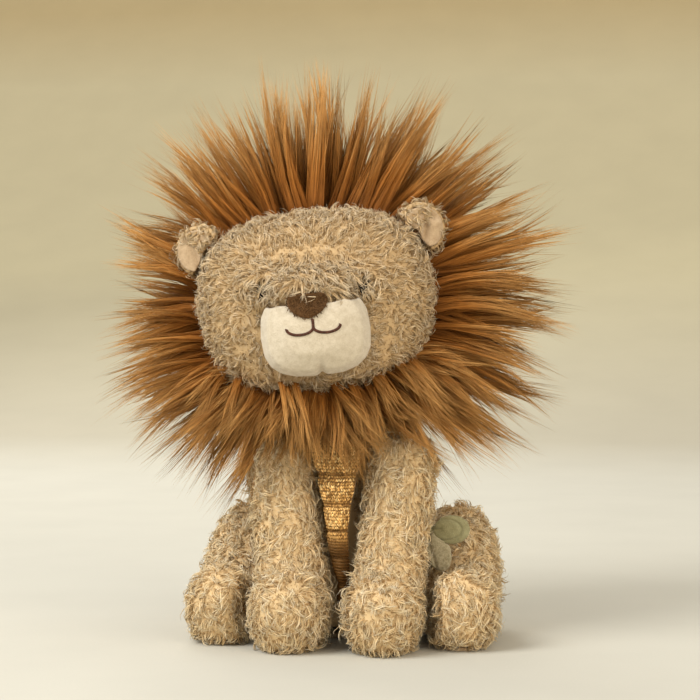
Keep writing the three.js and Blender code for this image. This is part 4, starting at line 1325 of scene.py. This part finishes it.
tail_skin = soft_skin("tail_fur", "tail", 1.2, 2.0, 2, curly_pile)
tail_curls = grow_curls(tail_skin, SPACING, 81, along_the_tail, even(6))
dress(tail_skin, *tail_curls, "tail", "tail", "curly_pile")

# %% [markdown]
# ## Eyes
# The eyes are hard domes on washers. Rigid pieces are right as the CAD nodes that they are, so
# they only get their finish.

# %% Finishes on the rigid CAD nodes
for node_name, material in (
    ("eye_left", eye_plastic), ("eye_right", eye_plastic),
    ("eye_washer_left", washer_plastic), ("eye_washer_right", washer_plastic),
):
    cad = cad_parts[node_name]
    cad.data.materials.clear()
    cad.data.materials.append(material)
    print(node_name, "is", material.name)

# %% [markdown]
# ## Mane
# The mane is long pile on a band behind the face. Its hairs aren't spread evenly: they stick
# together in broad locks that part at the root and run to a point. So the locks are laid first,
# each an arc from the band to its tip. Every lock is split into a few stout wisps, and each
# wisp into hairs that start round its root, draw together on the way and run on past its tip.
# A dark padded band fills the space between the roots; its dark brown is painted shade for the
# depths of the mane.

# %% The mane's frame and its reach
mane_place = (
    head_place @ Matrix.Translation((5.5 * MM, 0, 0)) @ Matrix.Rotation(math.radians(-14), 4, "X")
)
mane_turn = np.array(mane_place.to_3x3())
mane_middle = np.array(mane_place.translation)
mane_boxes = np.array([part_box("mane_ruff"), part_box("mane_nape")])
mane_low, mane_high = mane_boxes[:, 0].min(axis=0), mane_boxes[:, 1].max(axis=0)
MANE_REACH = 100
FREE_REACH = 9 * MM
SOFT_REACH = 5 * MM
print("the mane's solids end at", (mane_low / MM).round(1), (mane_high / MM).round(1))


def lock_tips(angle, lean, reach_share, root, chin):
    """Where locks end, in the mane's own frame in millimetres."""
    below = smooth_step(-np.sin(angle), 0.5, 0.95)
    under = smooth_step(-np.sin(angle), 0.84, 0.97)
    tall = 1 + 0.05 * np.maximum(np.sin(angle), 0) ** 2
    shorter = 1 if chin else 0.3 + 0.7 * (1 + (0.70 - 1) * under)
    reach = MANE_REACH * reach_share * tall * shorter
    back = root + np.sin(lean) * reach - 15 * below
    return np.stack(
        [np.cos(angle) * np.cos(lean) * reach, back, np.sin(angle) * np.cos(lean) * reach], axis=1
    )


def band_roots(angle, lean, back):
    """Where locks start: round the head's outline in front, and over its back further on."""
    squareness = 2.6
    wide = 46 * np.cos(lean) ** 0.7
    tall = 34 * np.cos(lean) ** 0.7
    out = np.abs(np.cos(angle) / wide) ** squareness + np.abs(np.sin(angle) / tall) ** squareness
    out = out ** (-1 / squareness)
    return np.stack([np.cos(angle) * out - 4, back, np.sin(angle) * out], axis=1)


# %% Locks as arcs
def lock_arcs(crown, dice):
    """The arcs of a crown's locks: where they start, set off and curl to, and how far.

    A crown gives how many locks, their lowest and highest lean, their share of the reach, how
    far back they start, and whether they are only those under the chin."""
    count, (low, high), share, depth, chin = crown
    start, end = (-150, -30) if chin else (-180, 180)
    step = np.arange(count) + dice.uniform(-0.4, 0.4, count)
    angle = np.radians(start + (end - start) * step / count)
    lean = np.radians(dice.uniform(low, high, count))
    root = band_roots(angle, lean, depth + dice.uniform(-4, 4, count))
    sway = angle + np.radians(dice.normal(0, 6, count))
    tip = lock_tips(sway, lean, share * dice.uniform(0.92, 1.12, count), depth, chin)
    chord = tip - root
    arc = dice.uniform(0.15, 0.8, count)
    way = unit(chord)
    bend = dice.normal(0, 0.7, (count, 3)) + np.array([0, 0.2, -0.4])
    bend = unit(bend - way * np.sum(bend * way, axis=1, keepdims=True))
    half = arc[:, None] / 2
    across = unit(np.cross(way, np.array([0, 1.0, 0])))
    thick = unit(np.cross(across, way))
    return {
        "root": root,
        "ahead": way * np.cos(half) - bend * np.sin(half),
        "aside": way * np.sin(half) + bend * np.cos(half),
        "length": np.linalg.norm(chord, axis=1) * (arc / 2) / np.sin(arc / 2),
        "arc": arc,
        "across": across,
        "thick": thick,
        "tone": dice.uniform(0, 1, count),
        "size": dice.uniform(0.7, 1.3, count),
        "draw": np.zeros((count, 3)),
        "out": thick * np.clip((lean - 0.25) / 0.25, -1, 1)[:, None],
    }


def shortened(arcs, share):
    """The same arcs, each cut to a share of its length."""
    return arcs | {
        "length": arcs["length"] * share, "arc": arcs["arc"] * share,
        "draw": arcs["draw"] * share[:, None] ** 1.5,
    }


def split_locks(arcs, parts, spread, tone, dice):
    """Splits arcs into thinner ones, strewn round each within `spread` and drawn together."""
    owner = np.repeat(np.arange(len(arcs["length"])), parts)
    total = len(owner)
    around = dice.uniform(0, 2 * np.pi, total)
    out = spread * arcs["size"][owner] * np.sqrt(dice.uniform(0.1, 1, total))
    u, v = (out * np.cos(around))[:, None], (out * np.sin(around))[:, None]
    aside = arcs["across"][owner] * u + arcs["thick"][owner] * v
    split = {key: values[owner] for key, values in arcs.items()}
    split["root"] = split["root"] + aside
    split["draw"] = split["draw"] - aside * dice.uniform(0.4, 0.95, total)[:, None]
    split["tone"] = np.clip(tone * split["tone"] + (1 - tone) * dice.uniform(0, 1, total), 0, 1)
    split["out"] = split["out"] + 0.6 * aside / spread
    return split


# %% Locks as wisps and hairs
WISPS = 4
WISP_SPREAD = 3.4
HAIR_SPREAD = 1.9


def lay_locks(locks, hairs_each, dice):
    """Wisps and hairs of locks: strands, with the shade and the facing of each point."""
    wisps = split_locks(locks, WISPS, WISP_SPREAD, 0.6, dice)
    total = len(wisps["length"])
    wisps["draw"] = wisps["draw"] + dice.normal(0, 2.4, (total, 3))
    hairs = split_locks(wisps, hairs_each, HAIR_SPREAD, 0.75, dice)
    many = len(hairs["length"])
    astray = np.where(dice.uniform(0, 1, many) < 0.12, 3.2, 0.8)[:, None]
    hairs["draw"] = hairs["draw"] + dice.normal(0, 1, (many, 3)) * astray
    hairs = shortened(hairs, dice.uniform(0.7, 1.1, many))
    wisps = shortened(wisps, dice.uniform(0.66, 0.97, total))
    stout = dice.uniform(1.4, 2.3, total) * wisps["size"]
    thin = dice.uniform(0.16, 0.32, many) * 1
    parts, tones, fronts = [], [], []
    for blade, arcs, width, fine in (
        (wisp_blade, wisps, stout, 0.8), (hair_blade, hairs, thin, 0.45),
    ):
        laid = lay_strands(
            blade, arcs["root"], arcs["ahead"], arcs["aside"], arcs["length"], width,
            arcs["arc"], draw=arcs["draw"], flat=0.6, fine=fine,
        )
        parts.append(strewn_lanes(laid, dice, 1))
        tones.append(np.repeat(arcs["tone"], laid["size"]))
        fronts.append(np.repeat(arcs["out"], laid["size"], axis=0))
    return join_strands(parts), np.concatenate(tones), unit(np.concatenate(fronts))


def grow_locks(name, crowns, seed, hairs_each):
    """One piece of the mane. Hairs that pass the solids are held back softly."""
    dice = np.random.default_rng(seed)
    laid, tones, fronts = zip(
        *[lay_locks(lock_arcs(crown, dice), hairs_each, dice) for crown in crowns]
    )
    laid = join_strands(list(laid))
    points = laid["points"] * MM @ mane_turn.T + mane_middle
    inside = np.clip(points, mane_low - FREE_REACH, mane_high + FREE_REACH)
    laid["points"] = inside + SOFT_REACH * np.tanh((points - inside) / SOFT_REACH)
    laid["facing"] = laid["facing"] @ mane_turn.T
    piece, shading = strand_mesh(
        name, laid, np.concatenate(tones), np.concatenate(fronts) @ mane_turn.T, 0.6, mane_pile,
        streaks=True,
    )
    shade_piece(piece, shading)
    print(name, "has", len(laid["faces"]), "faces")
    return hand_over(piece, "head", "mane_pile")


# %% Padded band, painted dark as the shade under the locks
def padded_ball(name, rounds, place, half_sizes):
    """A ball drawn out to an egg, for cloth that the locks hide, painted dark as the shade among
    them. Places are in metres.
    """
    bpy.ops.mesh.primitive_uv_sphere_add(segments=rounds[0], ring_count=rounds[1], location=place)
    ball = named(name)
    ball.scale = half_sizes
    settle(ball)
    bpy.ops.object.shade_smooth()
    ball.data.materials.append(band_shade_paint)
    return ball


# Painted shade: the band's dark brown stands for the deep shade among the roots of the locks.
band_shade_paint = fur_material(
    "mane_shade_band", (0.11, 0.045, 0.012), (0.15, 0.064, 0.018), (0.2, 0.09, 0.03), 0.5, 0.8
)
band = padded_ball("mane_shade_band", (48, 32), (0, 0, 0), (60 * MM, 23 * MM, 50 * MM))
band.data.transform(mane_place @ Matrix.Translation((-4 * MM, 17 * MM, 0)))
hand_over(band, "head", "mane_pile", "mane_ruff", "mane_nape", fill=0.9)
print("the band has", len(band.data.polygons), "faces")

# %% Crowns of locks, from the face to the nape
MANE_CROWNS = {
    "mane_front_locks": (13, [(92, (-10, -2), 0.93, 3, False), (40, (-18, -10), 0.74, 2, True)]),
    "mane_middle_locks": (11, [(96, (-2, 7), 1.0, 8, False), (36, (-12, 0), 0.76, 4, True)]),
    "mane_back_locks": (9, [(110, (7, 24), 1.0, 15, False)]),
    "mane_nape_high_locks": (6, [(76, (26, 45), 0.92, 22, False)]),
    "mane_nape_low_locks": (5, [(66, (45, 62), 0.80, 26, False), (60, (60, 90), 0.68, 27, False)]),
}
for number, (name, (hairs_each, crowns)) in enumerate(MANE_CROWNS.items()):
    grow_locks(name, crowns, 71 + number, hairs_each)

# %% [markdown]
# ## Tail tuft
# The tuft is sewn over the tail's end from the same long pile, so it is made of the same locks,
# shorter and thinner. They set off in a fan and curl in again, which gives the drop shape.


# %% Tail tuft
tuft_low, tuft_high = (np.array(corner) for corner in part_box("tail_tuft"))


def tuft_arcs(count, dice):
    """Locks that fan out from the tail's end, in the lion's own frame in millimetres."""
    low, high = tuft_low / MM, tuft_high / MM
    axis = unit(np.array([-0.95, 0.22, 0.10]))
    start = np.array([high[0] - 3, (low[1] + high[1]) / 2, (low[2] + high[2]) / 2])
    side = unit(np.cross(axis, [0, 0, 1]))
    turn = dice.uniform(0, 2 * np.pi, count)[:, None]
    out = np.sqrt(dice.uniform(0, 1, count))[:, None]
    aside = np.cos(turn) * side + np.sin(turn) * np.cross(side, axis)
    ahead = unit(axis + 0.75 * out * aside)
    across = unit(np.cross(ahead, aside))
    return {
        "root": start + 4.5 * out * aside, "ahead": ahead,
        "aside": unit(-aside + 0.35 * dice.normal(0, 1, (count, 3))),
        "length": dice.uniform(17, 30, count), "arc": dice.uniform(0.5, 1.3, count),
        "across": across, "thick": np.cross(across, ahead), "tone": dice.uniform(0, 1, count),
        "size": dice.uniform(0.45, 0.75, count), "draw": np.zeros((count, 3)), "out": aside,
    }


tuft_middle = (tuft_high[0] - 8 * MM, *(tuft_low[1:] + tuft_high[1:]) / 2)
tuft_skin = padded_ball("tail_tuft_fur", (24, 16), tuft_middle, (8 * MM, 4.5 * MM, 4.5 * MM))
dice = np.random.default_rng(82)
laid, tone, under = lay_locks(tuft_arcs(60, dice), 7, dice)
laid["points"] = laid["points"] * MM
laid["points"][:, 2] = np.maximum(laid["points"][:, 2], 0.5 * MM)
dress(
    tuft_skin, *strand_mesh("tail_tuft_hair", laid, tone, under, 0.5, mane_pile, streaks=True),
    "tail_tuft", "tail", "mane_pile",
)
print("the tuft has", len(tuft_skin.data.polygons), "faces")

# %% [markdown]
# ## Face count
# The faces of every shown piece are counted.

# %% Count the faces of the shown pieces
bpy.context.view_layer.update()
shown_meshes = [o for o in bpy.context.scene.objects if o.type == "MESH" and not o.hide_render]
print("faces:", sum(len(o.data.polygons) for o in shown_meshes))
